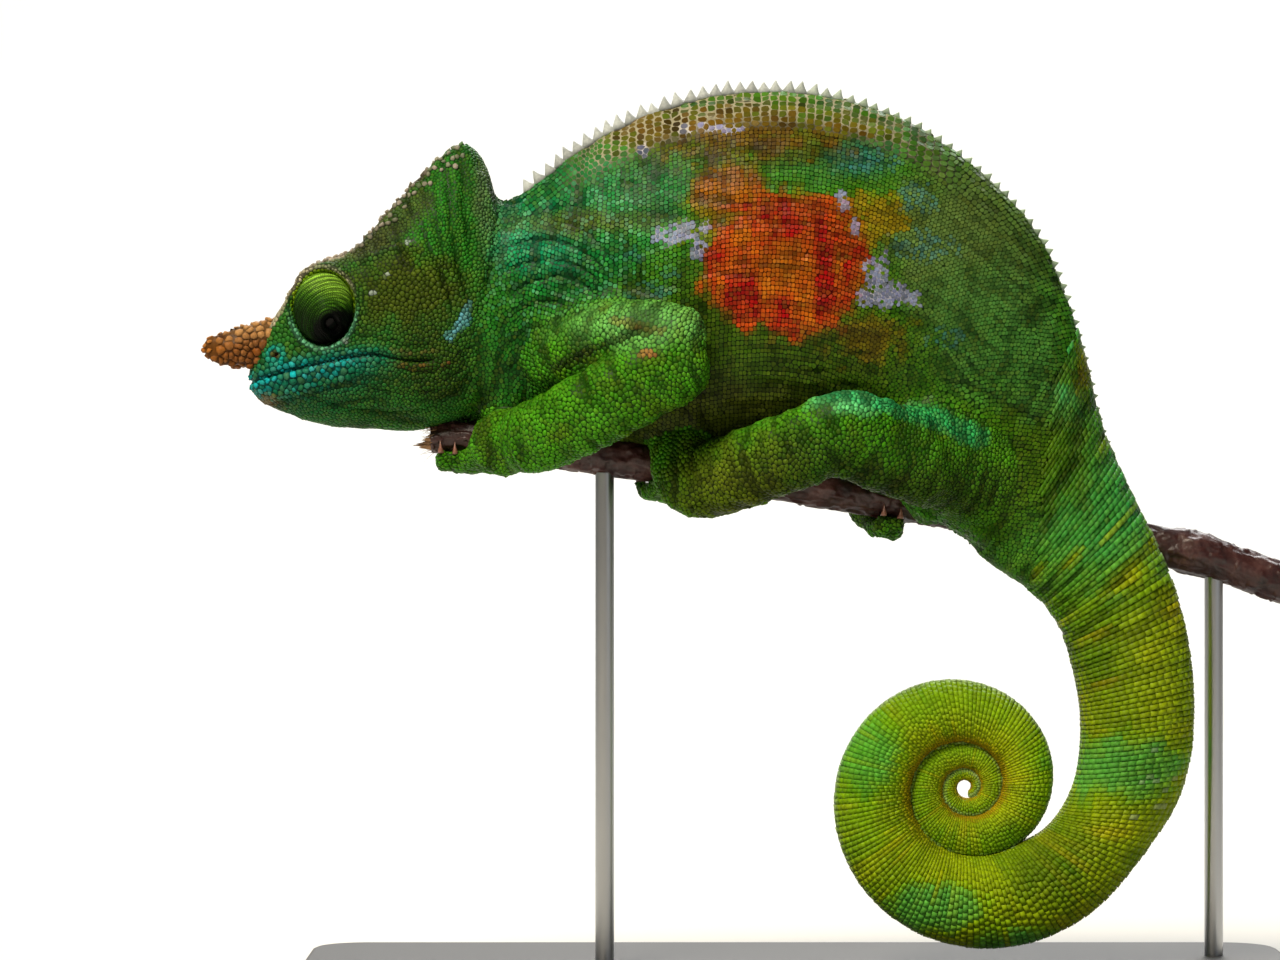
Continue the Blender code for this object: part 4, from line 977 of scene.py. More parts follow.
# The tail's plates: width for each unit of length, the top's share of the length and of the width,
# and how much of its room a plate fills
PLATE_WIDTH = 1.62
PLATE_CROWN = 0.86
PLATE_JOIN = 0.98
PLATE_FIT = 0.985
# Spacing of the scales
PITCH_FLANK = 0.93
PITCH_BACK = 1.60
PITCH_LIMB = 0.95
PITCH_FOOT = 0.86
# Rows of scales along the mouth: height over its line, spacing, first and last share of its length
LIP_ROWS = [
    (1.05, 1.45, 0.03, 0.60),
    (-1.0, 1.45, 0.03, 0.62),
    (-2.65, 1.90, 0.05, 0.50),
    (-4.3, 1.55, 0.12, 0.46),
]


def flank_pitch(back, row):
    """Large squarish scales in a band below the crest, and small ones elsewhere."""
    band = (1 - ease(back, 9.0, 15.0)) * ease(row, 1.4, 3.0) * (1 - ease(row, 6.5, 9.0))
    return PITCH_FLANK + (PITCH_BACK - PITCH_FLANK) * band


def laid_in_rows(grid, rows, pitch_at, draw):
    """Scale places in rows side by side from a grid's first edge, with columns that merge and part."""
    across = walked_across(grid)
    places = []
    stations = np.arange(len(grid))
    middle_row = rows[len(rows) // 3]
    columns = None
    depth = 0.5 * pitch_at(0.0, middle_row)
    while depth < across[:, -1].max():
        pitch = float(pitch_at(depth, middle_row))
        line = np.array([point_at(depth, across[s], grid[s]) for s in stations])
        walked = walked_along(line)
        if columns is None:
            columns = np.interp(np.arange(0.5 * pitch, walked[-1], 0.6 * pitch), walked, stations)
        kept = []
        last = -1e9
        for column in columns:
            here = np.interp(column, stations, walked)
            own = pitch_at(depth, np.interp(column, stations, rows))
            if here - last < 0.70 * own:
                continue
            if kept and here - last > 1.5 * own:
                kept.append((kept[-1] + column) / 2)
            kept.append(column)
            last = here
        columns = np.array(kept)
        inside = across[np.clip(np.round(columns).astype(int), 0, len(grid) - 1), -1] > depth
        spots = point_at(columns, stations, line)
        own = pitch_at(depth, np.interp(columns, stations, rows))
        spots += (draw.random((len(spots), 3)) - 0.5) * 0.32 * own[:, None]
        places += [(spot, size, 0.62) for spot, size in zip(spots[inside], own[inside])]
        depth += 0.5 * (pitch + float(pitch_at(depth + pitch, middle_row)))
    return places


def laid_in_rings(rings, pitch, closest, draw):
    """Scale places in rings round a tube: the same spacing everywhere, with a little unevenness."""
    walked = walked_along(rings.mean(1))
    places = []
    here = 0.4 * pitch
    while here < walked[-1]:
        station = np.interp(here, walked, np.arange(len(rings)))
        low = min(int(station), len(rings) - 2)
        ring = rings[low] + (rings[low + 1] - rings[low]) * (station - low)
        closed = np.vstack([ring, ring[:1]])
        around = walked_along(closed)
        count = max(4, round(around[-1] / (pitch * 1.05)))
        spots = (np.arange(count) + draw.random() + (draw.random(count) - 0.5) * 0.25) % count
        places += [(point_at(spot, around, closed), pitch, closest) for spot in spots * around[-1] / count]
        here += pitch
    return places


def crest_height(row):
    """How high the cones stand: less from the fading row on."""
    if row < CREST_FADE_ROW:
        return CREST_HEIGHT
    return CREST_HEIGHT - CREST_DROP * min(1.0, (row - CREST_FADE_ROW) / CREST_FADE_LENGTH)


def tail_pitch(row, ring):
    """Length of a plate: shorter where the tail is thin, and near the flank."""
    thick = np.linalg.norm(ring[0] - ring[len(ring) // 2])
    return min(0.36 + 0.031 * thick, 0.80 + 0.08 * max(0, row - RINGS_START))


def tail_plates(cover, draw):
    """The tail's four-sided plates, side by side in even rings: place, normal, pitch, edge and top."""
    rows = np.linspace(RINGS_START, LAST_ROW, 2400)
    rings = trunk_rings(rows, circle(72))
    walked = walked_along(rings.mean(1))
    rings = np.concatenate([rings, rings[:, :1]], axis=1)
    borders = [0.0]
    while borders[-1] < walked[-1] - 0.4:
        station = int(np.searchsorted(walked, borders[-1]))
        borders.append(borders[-1] + tail_pitch(rows[station], rings[station]) * draw.uniform(0.88, 1.14))
    found = []
    for first, last in zip(borders, borders[1:]):
        stations = np.interp((first, (first + last) / 2, last), walked, np.arange(len(rings)))
        lows = np.minimum(stations.astype(int), len(rings) - 2)
        lines = rings[lows] + (rings[lows + 1] - rings[lows]) * (stations - lows)[:, None, None]
        around = walked_along(lines[1])
        count = max(5, round(around[-1] / ((last - first) * PLATE_WIDTH)))
        uneven = draw.uniform(-0.16, 0.16, count)
        sides = (np.arange(count + 1) + draw.random() + np.append(uneven, uneven[0])) * around[-1] / count
        for left, right in zip(sides, sides[1:]):
            turns = np.array((left, (left + right) / 2, right)) % around[-1]
            found.append((np.array([point_at(turns, around, line) for line in lines]), last - first))
    grids = np.array([grid for grid, pitch in found])
    pitches = np.array([pitch for grid, pitch in found])
    centres = grids[:, 1, 1]
    lengths = grids[:, 2, 1] - grids[:, 0, 1]
    widths = grids[:, 1, 2] - grids[:, 1, 0]
    normals = unit(np.cross(lengths, widths))
    corners = [(2, 1), (2, 2), (1, 2), (0, 2), (0, 1), (0, 0), (1, 0), (2, 0)]
    edges = np.stack([grids[:, i, j] for i, j in corners], axis=1) - centres[:, None]
    way, turn = unit(lengths)[:, None], unit(widths)[:, None]
    tops = edges - way * np.sum(edges * way, -1, keepdims=True) * (1 - PLATE_CROWN)
    tops = tops - turn * np.sum(edges * turn, -1, keepdims=True) * (1 - PLATE_JOIN)
    proud = GUIDE_ZONE[guide_of(centres)] == TAIL_ZONE
    for k in np.flatnonzero(proud & (centres[:, 0] < 78)):
        spot = np.array(cover.find_nearest(centres[k])[0])
        proud[k] = np.dot(spot - centres[k], normals[k]) < 0.3
    return centres[proud], normals[proud], pitches[proud], edges[proud] * PLATE_FIT, tops[proud]


def skin_tree(skin):
    points = mesh_points(skin.data)
    faces = [list(p.vertices) for p in skin.data.polygons]
    return BVHTree.FromPolygons(points.tolist(), faces)


def lip_places(cover, draw):
    """The large scales along the lips, in one row above the mouth and three below it."""
    places = []
    for offset, pitch, first, last in LIP_ROWS:
        route = along(MOUTH, np.linspace(first, last, 60) * (len(MOUTH) - 1))
        walked = walked_along(route)
        for spot in np.arange(draw.random() * 0.8, walked[-1], pitch * 0.95):
            x, z = point_at(spot, walked, route) + (0, offset)
            for side in (-1, 1):
                hit = cover.ray_cast((x, side * 40, z), (0, -side, 0))
                if hit[0] is not None:
                    places.append((np.array(hit[0]), pitch * draw.uniform(0.92, 1.08), 0.7))
    return places


def scale_places(skin):
    """Where every scale sits on the skin: point, normal, pitch and the nearest guide."""
    draw = np.random.default_rng(7)
    cover = skin_tree(skin)
    wanted = lip_places(cover, draw)
    half_angles = np.linspace(0, math.pi, 90)
    trunk_rows = np.linspace(0, RINGS_START + RINGS_SLOPE + RINGS_RAGGED, 470)
    trunk = trunk_rings(trunk_rows, half_angles)
    for half in (trunk, mirrored(trunk)):
        rows = laid_in_rows(half, trunk_rows, flank_pitch, draw)
        wanted += [place for place in rows if place[0][0] > NECK_START or place[0][2] > 168]
    wanted += head_places(skin, draw)
    wanted += limb_places(skin, draw)
    plates = tail_plates(cover, draw)
    grown = Spacing()
    for spot, normal, pitch in zip(*plates[:3]):
        grown.add(spot, normal, pitch)
    zones = GUIDE_ZONE[guide_of([place[0] for place in wanted])]
    for (point, pitch, closest), zone in zip(wanted, zones):
        spot, normal, face, gap = cover.find_nearest(point)
        if zone != TAIL_ZONE and gap < 1.6 and grown.free(spot, pitch, closest):
            grown.add(spot, normal, pitch)
    fill_gaps(skin, grown, draw)
    points, normals, pitches = (np.array(part) for part in (grown.points, grown.normals, grown.pitches))
    return points, normals, pitches, guide_of(points), plates[3:]


def head_pitch(points):
    """Spacing of the head's scales: plates on the temple and snout, fine ones on the casque and throat."""
    pitch = np.full(len(points), 0.80)
    pitch += 0.14 * blot(points, -80.0, 149.0, 12.0, 7.0, 0.4, 0.2, 90)
    pitch += 0.26 * blot(points, -108.0, 137.0, 8.0, 7.0, 0.4, 0.2, 91)
    pitch -= 0.08 * blot(points, -75.0, 168.0, 9.0, 10.0, 0.4, 0.2, 92)
    return pitch + 0.12 * scatter_field(points, 2.2, 93)


def crown_edge(draw):
    """Knobs in four ragged rows along the front edge of the casque and over the eye: place and size."""
    places = []
    for drop, first, last in ((0.95, 4.4, 10.7), (0.885, 4.8, 10.6), (0.83, 6.2, 10.5), (0.79, 7.4, 10.3)):
        row = first
        while row < last:
            half = head_half_rings([row], 60)[0]
            places.append((half[int(59 * (drop + draw.uniform(-0.02, 0.02)))], draw.uniform(1.12, 1.8)))
            row += draw.uniform(0.16, 0.44)
    return [(spot * (1, side, 1), size) for spot, size in places for side in (-1, 1)]


def limb_places(skin, draw):
    """Where the scales of legs and feet may grow, strewn anyhow over them."""
    spots, normals = strewn(skin, 16, draw, lambda middles: np.abs(middles[:, 1]) > 2)
    seat = guide_of(spots)
    limb = (GUIDE_ZONE[seat] == LIMB_ZONE) | (GUIDE_ZONE[seat] == FOOT_ZONE)
    spots, seat = spots[limb], seat[limb]
    limb_pitch = PITCH_LIMB - 0.10 * ease(spots[:, 0], 15, 30)
    pitches = np.where(GUIDE_ZONE[seat] == LIMB_ZONE, limb_pitch, PITCH_FOOT)
    pitches = pitches * (1 + 0.10 * scatter_field(spots, 5.0, 95))
    return [(spot, pitch, 0.80) for spot, pitch in zip(spots, pitches)]


def head_places(skin, draw):
    """Where the scales of the head and nape may grow: the raised knobs first, then all others."""
    raised = [(spot, size, 0.62) for spot, size in crown_edge(draw)]
    spots, normals = strewn(skin, 30, draw, lambda middles: middles[:, 0] < NECK_START)
    zone = GUIDE_ZONE[guide_of(spots)]
    spots = spots[(zone == HEAD_ZONE) | (zone == TRUNK_ZONE)]
    return raised + [(spot, pitch, 0.80) for spot, pitch in zip(spots, head_pitch(spots))]


class Spacing:
    """Points kept apart from one another, found through a grid of cells."""

    def __init__(self, cell=1.5):
        self.cell = cell
        self.cells = {}
        self.points = []
        self.normals = []
        self.pitches = []

    def free(self, spot, pitch, closest):
        i, j, k = (int(c // self.cell) for c in spot)
        for a in (i - 1, i, i + 1):
            for b in (j - 1, j, j + 1):
                for c in (k - 1, k, k + 1):
                    for x, y, z, other in self.cells.get((a, b, c), ()):
                        reach = closest * (pitch + other) / 2
                        if (x - spot[0]) ** 2 + (y - spot[1]) ** 2 + (z - spot[2]) ** 2 < reach * reach:
                            return False
        return True

    def add(self, spot, normal, pitch):
        key = tuple(int(c // self.cell) for c in spot)
        self.cells.setdefault(key, []).append((*spot, pitch))
        self.points.append(tuple(spot))
        self.normals.append(tuple(normal))
        self.pitches.append(pitch)


def strewn(skin, density, draw, wanted=None):
    """Random points on the skin and their normals, so many to a square millimetre."""
    mesh = skin.data
    mesh.calc_loop_triangles()
    triangles = mesh_points(mesh)[read_back(mesh.loop_triangles, "vertices", 3, np.int32)]
    if wanted is not None:
        triangles = triangles[wanted(triangles.mean(1))]
    cross = np.cross(triangles[:, 1] - triangles[:, 0], triangles[:, 2] - triangles[:, 0])
    areas = np.linalg.norm(cross, axis=1)
    chosen = draw.choice(len(areas), int(areas.sum() / 2 * density), p=areas / areas.sum())
    a, b = draw.random((2, len(chosen), 1))
    flip = a + b > 1
    a, b = np.where(flip, 1 - a, a), np.where(flip, 1 - b, b)
    t = triangles[chosen]
    return t[:, 0] + (t[:, 1] - t[:, 0]) * a + (t[:, 2] - t[:, 0]) * b, unit(cross[chosen])


def fill_gaps(skin, grown, draw):
    """Adds scales wherever the rows and rings have left the skin bare."""
    spots, normals = strewn(skin, 5, draw)
    tree = tree_of(grown.points)
    pitches = np.array(grown.pitches)
    seat, gap = nearest(tree, spots)
    far = gap > 0.86 * pitches[seat]
    for spot, normal, pitch in zip(spots[far], normals[far], pitches[seat[far]]):
        if grown.free(spot, min(pitch, PITCH_BACK), 0.80):
            grown.add(spot, normal, min(pitch, PITCH_BACK))


# Scales

# Each scale has eight corners, from the front round, which reach half way to its nearest neighbours
CELL_TURNS = (0.0, 45.0, 90.0, 135.0, 180.0, 225.0, 270.0, 315.0)
CELL_CORNERS = len(CELL_TURNS)
CELL_NEIGHBOURS = 14
GROOVE = 0.015
SCALE_SINK = 0.12
SCALE_TILT = 0.45
# A plate of the tail runs on into the next at its left and right corners
PLATE_JOINED = (0, 0, 0.92, 0, 0, 0, 0.92, 0)
# Size of a scale's patch and width of the margin, as shares of the square that is baked
BAKE_PATCH = 0.0015
BAKE_MARGIN = 0.005


def cell_shapes(points, normals, lies, pitches, stretch, crown, narrow):
    """Each scale's edge and top, as offsets from its middle: it reaches as far as its neighbours let it.
    Above 1, `stretch` makes a scale wider across the lie than along it. `narrow` shortens its top."""
    tree = tree_of(points)
    around = np.array([[n[1] for n in tree.find_n(p, CELL_NEIGHBOURS)] for p in points])
    first = unit(lies - normals * np.sum(lies * normals, axis=1, keepdims=True))
    second = np.cross(normals, first)
    turns = np.radians(CELL_TURNS)
    offsets = points[around] - points[:, None]
    flat = np.stack([np.sum(offsets * first[:, None], -1), np.sum(offsets * second[:, None], -1)], -1)
    reach = np.repeat((pitches * 0.78)[:, None], CELL_CORNERS, axis=1)
    flat[..., 0] *= stretch[:, None]
    square = np.sum(flat ** 2, axis=-1)
    for k, turn in enumerate(turns):
        heading = flat[..., 0] * math.cos(turn) * stretch[:, None] + flat[..., 1] * math.sin(turn)
        limit = np.where((heading > 0.02) & (square > 0.01), square / 2 / np.maximum(heading, 0.02), 1e9)
        reach[:, k] = np.minimum(reach[:, k], limit.min(axis=1))
    reach = np.maximum(reach - GROOVE, 0.12)
    cos, sin = np.cos(turns)[None, :, None], np.sin(turns)[None, :, None]
    edges = (first[:, None] * cos + second[:, None] * sin) * reach[..., None]
    tops = edges * crown[:, None, None]
    lengthwise = first[:, None] * np.sum(tops * first[:, None], -1, keepdims=True)
    return edges, tops - lengthwise * narrow[:, None, None]


def scale_faces(count, corners):
    """Point numbers of every scale's faces, its sides and then its top, and where each face begins."""
    k = np.arange(corners)
    following = (k + 1) % corners
    sides = np.stack([k, following, following + corners, k + corners], -1).ravel()
    numbers = np.arange(count)[:, None]
    loops = np.concatenate([sides, k + corners]) + numbers * 2 * corners
    return loops, (np.append(k * 4, corners * 4) + numbers * 5 * corners).ravel()


def bake_patches(edges, unwrap):
    """A place on the baked square for each point of each scale."""
    turns = np.radians(CELL_TURNS)
    share = np.linalg.norm(edges, axis=2)
    share = share / share.max(axis=1, keepdims=True)
    local = np.stack([np.cos(turns)[None] * share, np.sin(turns)[None] * share], -1) * BAKE_PATCH
    return (unwrap[:, None] + np.concatenate([local, local * 0.78], axis=1)).reshape(-1, 2)


def bake_places(flat):
    """Places on the unwrapped skin, spread out over the baked square."""
    low, high = flat.min(0), flat.max(0)
    return BAKE_MARGIN + (1 - 2 * BAKE_MARGIN) * (flat - low) / (high - low)


def colour_points(thing, tones):
    """Stores a colour for each point, which the keratin material reads."""
    colours = np.ones((len(tones), 4), np.float32)
    colours[:, :3] = tones
    tone = thing.data.attributes.new("tone", "FLOAT_COLOR", "POINT")
    tone.data.foreach_set("color", colours.ravel())


def scales_mesh(name, points, normals, edges, tops, height, tones, grooves, unwrap, joined=0.0, rounded=True):
    """A joined mesh of scales: each is a low plate whose edge is sunk in the skin. `joined` is the share by
    which a corner runs on into the next scale of its ring; `rounded` ones have softly shaded tops."""
    count, corners = edges.shape[:2]
    joined = np.broadcast_to(joined, (count, corners))
    low = points[:, None] + edges - normals[:, None] * (SCALE_SINK * (1 - 1.4 * joined))[..., None]
    lean = scatter_field(points, 0.9, 17)[:, None] * math.pi
    tilt = 1 + SCALE_TILT * np.cos(np.radians(CELL_TURNS)[None] - lean) * (1 - joined)
    high = points[:, None] + tops + normals[:, None] * (height[:, None] * tilt)[..., None]
    places = np.concatenate([low, high], axis=1).reshape(-1, 3)
    loops, face_starts = scale_faces(count, corners)
    mesh = bpy.data.meshes.new(name)
    mesh.vertices.add(len(places))
    mesh.vertices.foreach_set("co", (places * MM).astype(np.float32).ravel())
    mesh.loops.add(loops.size)
    mesh.loops.foreach_set("vertex_index", loops.astype(np.int32).ravel())
    mesh.polygons.add(len(face_starts))
    mesh.polygons.foreach_set("loop_start", face_starts.astype(np.int32))
    mesh.update(calc_edges=True)
    smooth = np.ones((count, corners + 1), bool)
    smooth[:, -1] = rounded
    mesh.polygons.foreach_set("use_smooth", smooth.ravel())
    thing = new_object(name, mesh)
    grooves = grooves if grooves.ndim == 3 else grooves[:, None]
    feet = grooves + (tones[:, None] - grooves) * 0.75 * joined[..., None]
    crowns = np.repeat(tones[:, None], corners, axis=1)
    colour_points(thing, np.concatenate([feet, crowns], axis=1).reshape(-1, 3))
    layer = mesh.uv_layers.new(name="OFBake")
    layer.uv.foreach_set("vector", bake_patches(edges, unwrap)[loops.ravel()].astype(np.float32).ravel())
    return thing


# Colours and markings

def linear(code):
    """A hex colour as linear red, green and blue."""
    values = [int(code[k:k + 2], 16) / 255 for k in (1, 3, 5)]
    return np.array([v / 12.92 if v <= 0.04045 else ((v + 0.055) / 1.055) ** 2.4 for v in values])


def blend(tones, colour, weight):
    return tones + (linear(colour) - tones) * np.clip(weight, 0, 1)[:, None]


def ground(colour, points):
    """One colour for all points, to lay others over."""
    return np.tile(linear(colour), (len(points), 1))


def painted(tones, layers):
    """Lays colours over one another, each with its weight at every point."""
    for colour, weight in layers:
        tones = blend(tones, colour, weight)
    return tones


def blot(points, x, z, half_x, half_z, soft=0.25, rough=0.35, seed=1, size=4.0):
    """A soft-edged patch of the side view with a ragged outline."""
    gap = np.hypot((points[:, 0] - x) / half_x, (points[:, 2] - z) / half_z)
    gap = gap + rough * rough_field(points, size, seed)
    return 1 - ease(gap, 1 - soft, 1 + soft)


def streak(points, route, width, rough=0.3, seed=2):
    """A soft-edged line of the side view with a ragged outline."""
    gap = route_distance(points, route)[0]
    return 1 - ease(gap / width + rough * rough_field(points, 3.0, seed), 0.6, 1.3)


# How strong all colours are, and how much darker each zone is than its colours below
SATURATION = 1.34
TRUNK_DEPTH = 0.77
HEAD_DEPTH = 0.62
TAIL_DEPTH = 0.92
LIMB_DEPTH = 0.66

# Patches of the flanks: colour, x, z, half length, half height, softness, raggedness, grain, strength
TRUNK_PATCHES = [
    ("#2c7840", -50, 160, 17, 17, 0.6, 0.4, 6.0, 0.9),
    ("#2f9070", -56, 160, 8, 8, 0.6, 0.8, 3.0, 0.6),
    ("#306e42", -36, 170, 14, 10, 0.6, 0.5, 4.0, 0.8),
    ("#28662c", -58, 138, 12, 14, 0.6, 0.4, 5.0, 0.8),
    ("#5d5f2c", -48, 163, 16, 2.2, 0.7, 0.6, 2.5, 0.6),
    ("#4f9a66", 52, 124, 8, 5, 0.6, 0.5, 3.0, 0.8),
    ("#8a6a24", 59, 132, 2.5, 4, 0.6, 0.8, 2.0, 0.5),
    # The next two dark olive patches, low on the flank, are partly the skin's own olive and partly painted
    # shade under the legs
    ("#3b5220", -4, 136, 34, 15, 0.6, 0.4, 6.0, 0.9),
    ("#3a3d16", -24, 123, 30, 8, 0.6, 0.4, 5.0, 0.85),
    ("#5a6b44", 30, 160, 14, 14, 0.6, 0.5, 5.0, 0.8),
    ("#54683e", 44, 162, 10, 18, 0.5, 0.4, 5.0, 0.7),
    ("#47703f", 40, 140, 14, 14, 0.6, 0.5, 5.0, 0.7),
    ("#44601f", 50, 113, 16, 14, 0.5, 0.4, 5.0, 0.9),
    ("#38663c", 8, 178, 14, 6, 0.6, 0.6, 4.0, 0.7),
    ("#2a5f5a", 11, 177, 7, 3.5, 0.6, 0.8, 2.0, 0.5),
    ("#4b5a28", -14, 183, 32, 7.0, 0.5, 0.5, 4.0, 0.9),
    ("#683818", -15, 182, 24, 5.0, 0.5, 1.0, 2.0, 0.6),
    ("#8c5804", -15.5, 169.5, 7.0, 5.5, 0.4, 0.6, 2.5, 0.95),
    ("#8a7a30", -14, 162, 9, 5, 0.5, 0.8, 2.0, 0.5),
    ("#a04e0c", -3.6, 154.4, 17.0, 15.0, 0.10, 0.30, 3.5, 1.0),
    ("#8a7420", 15.5, 164.0, 5.0, 5.0, 0.4, 1.0, 1.8, 0.8),
    ("#7c5a1c", 13.0, 139.0, 8.0, 4.0, 0.5, 1.0, 2.0, 0.5),
]
# The red patch and its glowing middle: x, z, half length, half height, softness, raggedness, seed, grain
RED_PATCH = (-3.6, 154.4, 15.5, 13.5, 0.3, 0.4, 19, 3.0)
RED_CORE = (-4.5, 153.6, 5.5, 5.0, 0.7, 0.7, 35, 2.0)
# Clusters of pale scales: x, z, half length, half height
LILAC_CLUSTERS = [
    (-24.6, 160.8, 3.6, 2.3), (-21.6, 157.0, 1.6, 2.2), (-27.6, 158.6, 1.6, 1.6), (-19.6, 162.4, 1.0, 1.0),
    (-29.8, 160.6, 1.2, 1.5), (15.2, 152.0, 2.6, 4.2), (17.4, 148.0, 4.2, 2.6), (21.8, 147.2, 2.6, 1.6),
    (13.0, 147.6, 1.8, 2.0), (8.2, 167.4, 1.3, 2.2), (10.8, 162.0, 0.9, 1.6), (-24.2, 182.6, 1.6, 1.2),
    (-16.5, 182.8, 5.2, 1.0), (-33.0, 178.6, 0.9, 1.7),
]
BLUE_CLUSTERS = [
    (-34.6, 155.9, 3.0, 1.4), (-30.5, 148.6, 4.0, 1.6), (-36.0, 144.0, 2.0, 4.0), (25.0, 158.0, 7.0, 3.0),
    (30.0, 139.0, 4.0, 2.0), (-26.5, 152.5, 3.0, 1.2), (14.0, 176.0, 6.0, 3.0), (24.0, 168.0, 4.0, 4.0),
]
# Lines of the head and legs as x, z points: over the eye, at the corner of the mouth, above it, on the cheek,
# the pale ridge from snout to eye, the painted highlight along the thigh's top, and the elbow's crook, where
# a shadow is painted, with the fold over it
BROW_LINE = [(-97, 157), (-90, 160), (-84, 164), (-80, 168)]
MOUTH_CORNER = [(-85.5, 134.0), (-81.0, 133.0), (-74.0, 133.8)]
ABOVE_CORNER = [(-85.0, 136.4), (-81.0, 135.9), (-76.0, 136.4)]
CHEEK_STREAK = [(-69.4, 146.0), (-70.6, 142.0), (-73.0, 139.6)]
SNOUT_RIDGE = [(-110.5, 142.5), (-106.5, 150.0), (-101.5, 155.4), (-96.0, 157.0)]
THIGH_HIGHLIGHT = [(4, 128.5), (14, 126.5), (26, 122.5), (37, 118.5)]
CROOK_SHADOW = [(-51, 133.0), (-46, 135.3), (-42, 136.8), (-37, 138.8), (-34, 140.3)]
ELBOW_FOLD = [(-39, 142.5), (-34, 141.0), (-29, 140.0)]
# Pale warts of the head, x, z and half size, and green bars of the tail
WARTS = ((-86.3, 152.4, 0.7), (-89.0, 148.6, 0.8), (-94.8, 138.5, 0.7), (-82.0, 159.0, 0.6))
TAIL_BARS = ((66, 50, 14, 7), (27, 20, 12, 5), (14, 52, 6, 8), (46, 12, 8, 4))


def clusters(p, table, ragged, seed):
    """How likely each point is to be in one of a table's clusters."""
    found = np.zeros(len(p))
    for k, (x, z, half_x, half_z) in enumerate(table):
        found = np.maximum(found, blot(p, x, z, half_x, half_z, 0.35, ragged, seed + k, 1.5))
    return found


def trunk_tones(p, row, back, chance):
    """Greens and browns with a red patch, teal tips on the neck and clusters of blue and lilac scales."""
    patch = blot(p, *RED_PATCH)
    flames = scatter_field(p * (1.0, 0.4, 0.34), 1.9, 33) + 0.4 * scatter_field(p, 3.0, 34)
    embers = np.maximum(blot(p, *RED_CORE), patch * ease(-flames, 0.25, 0.6))
    teal_tips = blot(p, -48, 156, 20, 20, 0.4, 0.3, 36) * (chance > 0.8)
    blue = chance < clusters(p, BLUE_CLUSTERS, 0.6, 40) * 0.60
    lilac = chance < clusters(p, LILAC_CLUSTERS, 0.8, 60) * 0.85
    tones = painted(ground("#457a34", p), [("#33611f", 0.5 + 0.5 * rough_field(p, 8.0, 1))])
    for k, (colour, x, z, half_x, half_z, soft, ragged, grain, strength) in enumerate(TRUNK_PATCHES):
        tones = blend(tones, colour, blot(p, x, z, half_x, half_z, soft, ragged, 3 + k, grain) * strength)
    tones = painted(tones, [
        ("#8c2208", patch * ease(flames, -0.15, 0.3) * 0.85),
        ("#b0701c", embers * 0.7),
        ("#6fb08c", teal_tips * 0.35),
    ])
    return painted(tones * TRUNK_DEPTH, [
        ("#416a70", np.where(blue, 0.7 * chance + 0.15, 0.0)),
        ("#8082a4", np.where(lilac, 0.55 + 0.45 * chance, 0.0)),
    ])


def head_tones(p, row, back, chance):
    """Dark greens, a brown crown's edge, teal lips and nostrils, a blue cheek and yellow-green lids."""
    crown = (1 - ease(back, 2.4, 4.6)) * ease(p[:, 0], -103, -98) * (1 - ease(p[:, 0], -73, -70))
    tones = painted(ground("#2f5f2c", p), [
        ("#3f7a3a", 0.5 + 0.5 * rough_field(p, 4.0, 40)),
        ("#3a7d34", blot(p, -75, 163, 10, 14, 0.5, 0.4, 41) * 0.9),
        ("#434f20", blot(p, -81, 149, 12, 8, 0.5, 0.5, 42, 3.0) * 0.9),
        ("#46563c", blot(p, -92, 160, 8, 5, 0.6, 0.5, 43, 2.5) * 0.6),
        ("#5c4440", crown * 0.8),
        ("#4d4a34", streak(p, BROW_LINE, 3.4, 0.5) * 0.6),
        ("#718464", blot(p, -64.6, 168, 3.4, 12, 0.4, 0.3, 44, 3.0) * 0.7),
        ("#235a34", blot(p, -106, 128, 16, 6, 0.6, 0.3, 45) * 0.9),
        ("#2c4a1c", blot(p, -76, 134, 9, 7, 0.6, 0.4, 46, 3.0) * 0.9),
    ])
    gap, share = route_distance(p, MOUTH)
    lips = bell(gap, 1.6 + 2.0 * ease(below_mouth(p), -0.2, 0.4)) * (1 - ease(share, 0.45, 0.8))
    pit = nostril_gap(p)
    orbit = orbit_share(p)
    rim = bell(orbit - 1.13, 0.06) * 0.7
    warts = [("#a9b4b0", blot(p, x, z, size, size, 0.4, 0.4, 48) * 0.6) for x, z, size in WARTS]
    return painted(tones * HEAD_DEPTH, [
        ("#1c6a5c", lips * 0.9),
        ("#4fa6ac", lips * ease(chance, 0.30, 0.9) * (1 - ease(share, 0.3, 0.6)) * 0.9),
        ("#6f4a34", blot(p, -112, 125.5, 3, 1.6, 0.5, 0.8, 47, 1.2) * 0.6),
        ("#6b4632", streak(p, MOUTH_CORNER, 0.9, 0.9) * 0.7 * ease(chance, 0.3, 0.9)),
        ("#5f4a38", streak(p, ABOVE_CORNER, 0.5, 0.9) * 0.5 * chance),
        ("#6d9dab", streak(p, CHEEK_STREAK, 1.1, 0.8) * (0.3 + 0.6 * chance)),
        ("#2f9a90", bell(pit - 1.5, 0.6) * 0.7),
        ("#5a1f14", bell(pit, 0.8)),
        ("#77972a", (1 - ease(orbit, 1.06, 1.12)) * ease(p[:, 2], 143, 148)),
        ("#79b596", rim * ease(-p[:, 2], -147, -141)),
        ("#a3a08c", rim * ease(p[:, 2], 147, 151)),
        ("#b5a79a", streak(p, SNOUT_RIDGE, 1.1) * 0.6),
        *warts,
    ])


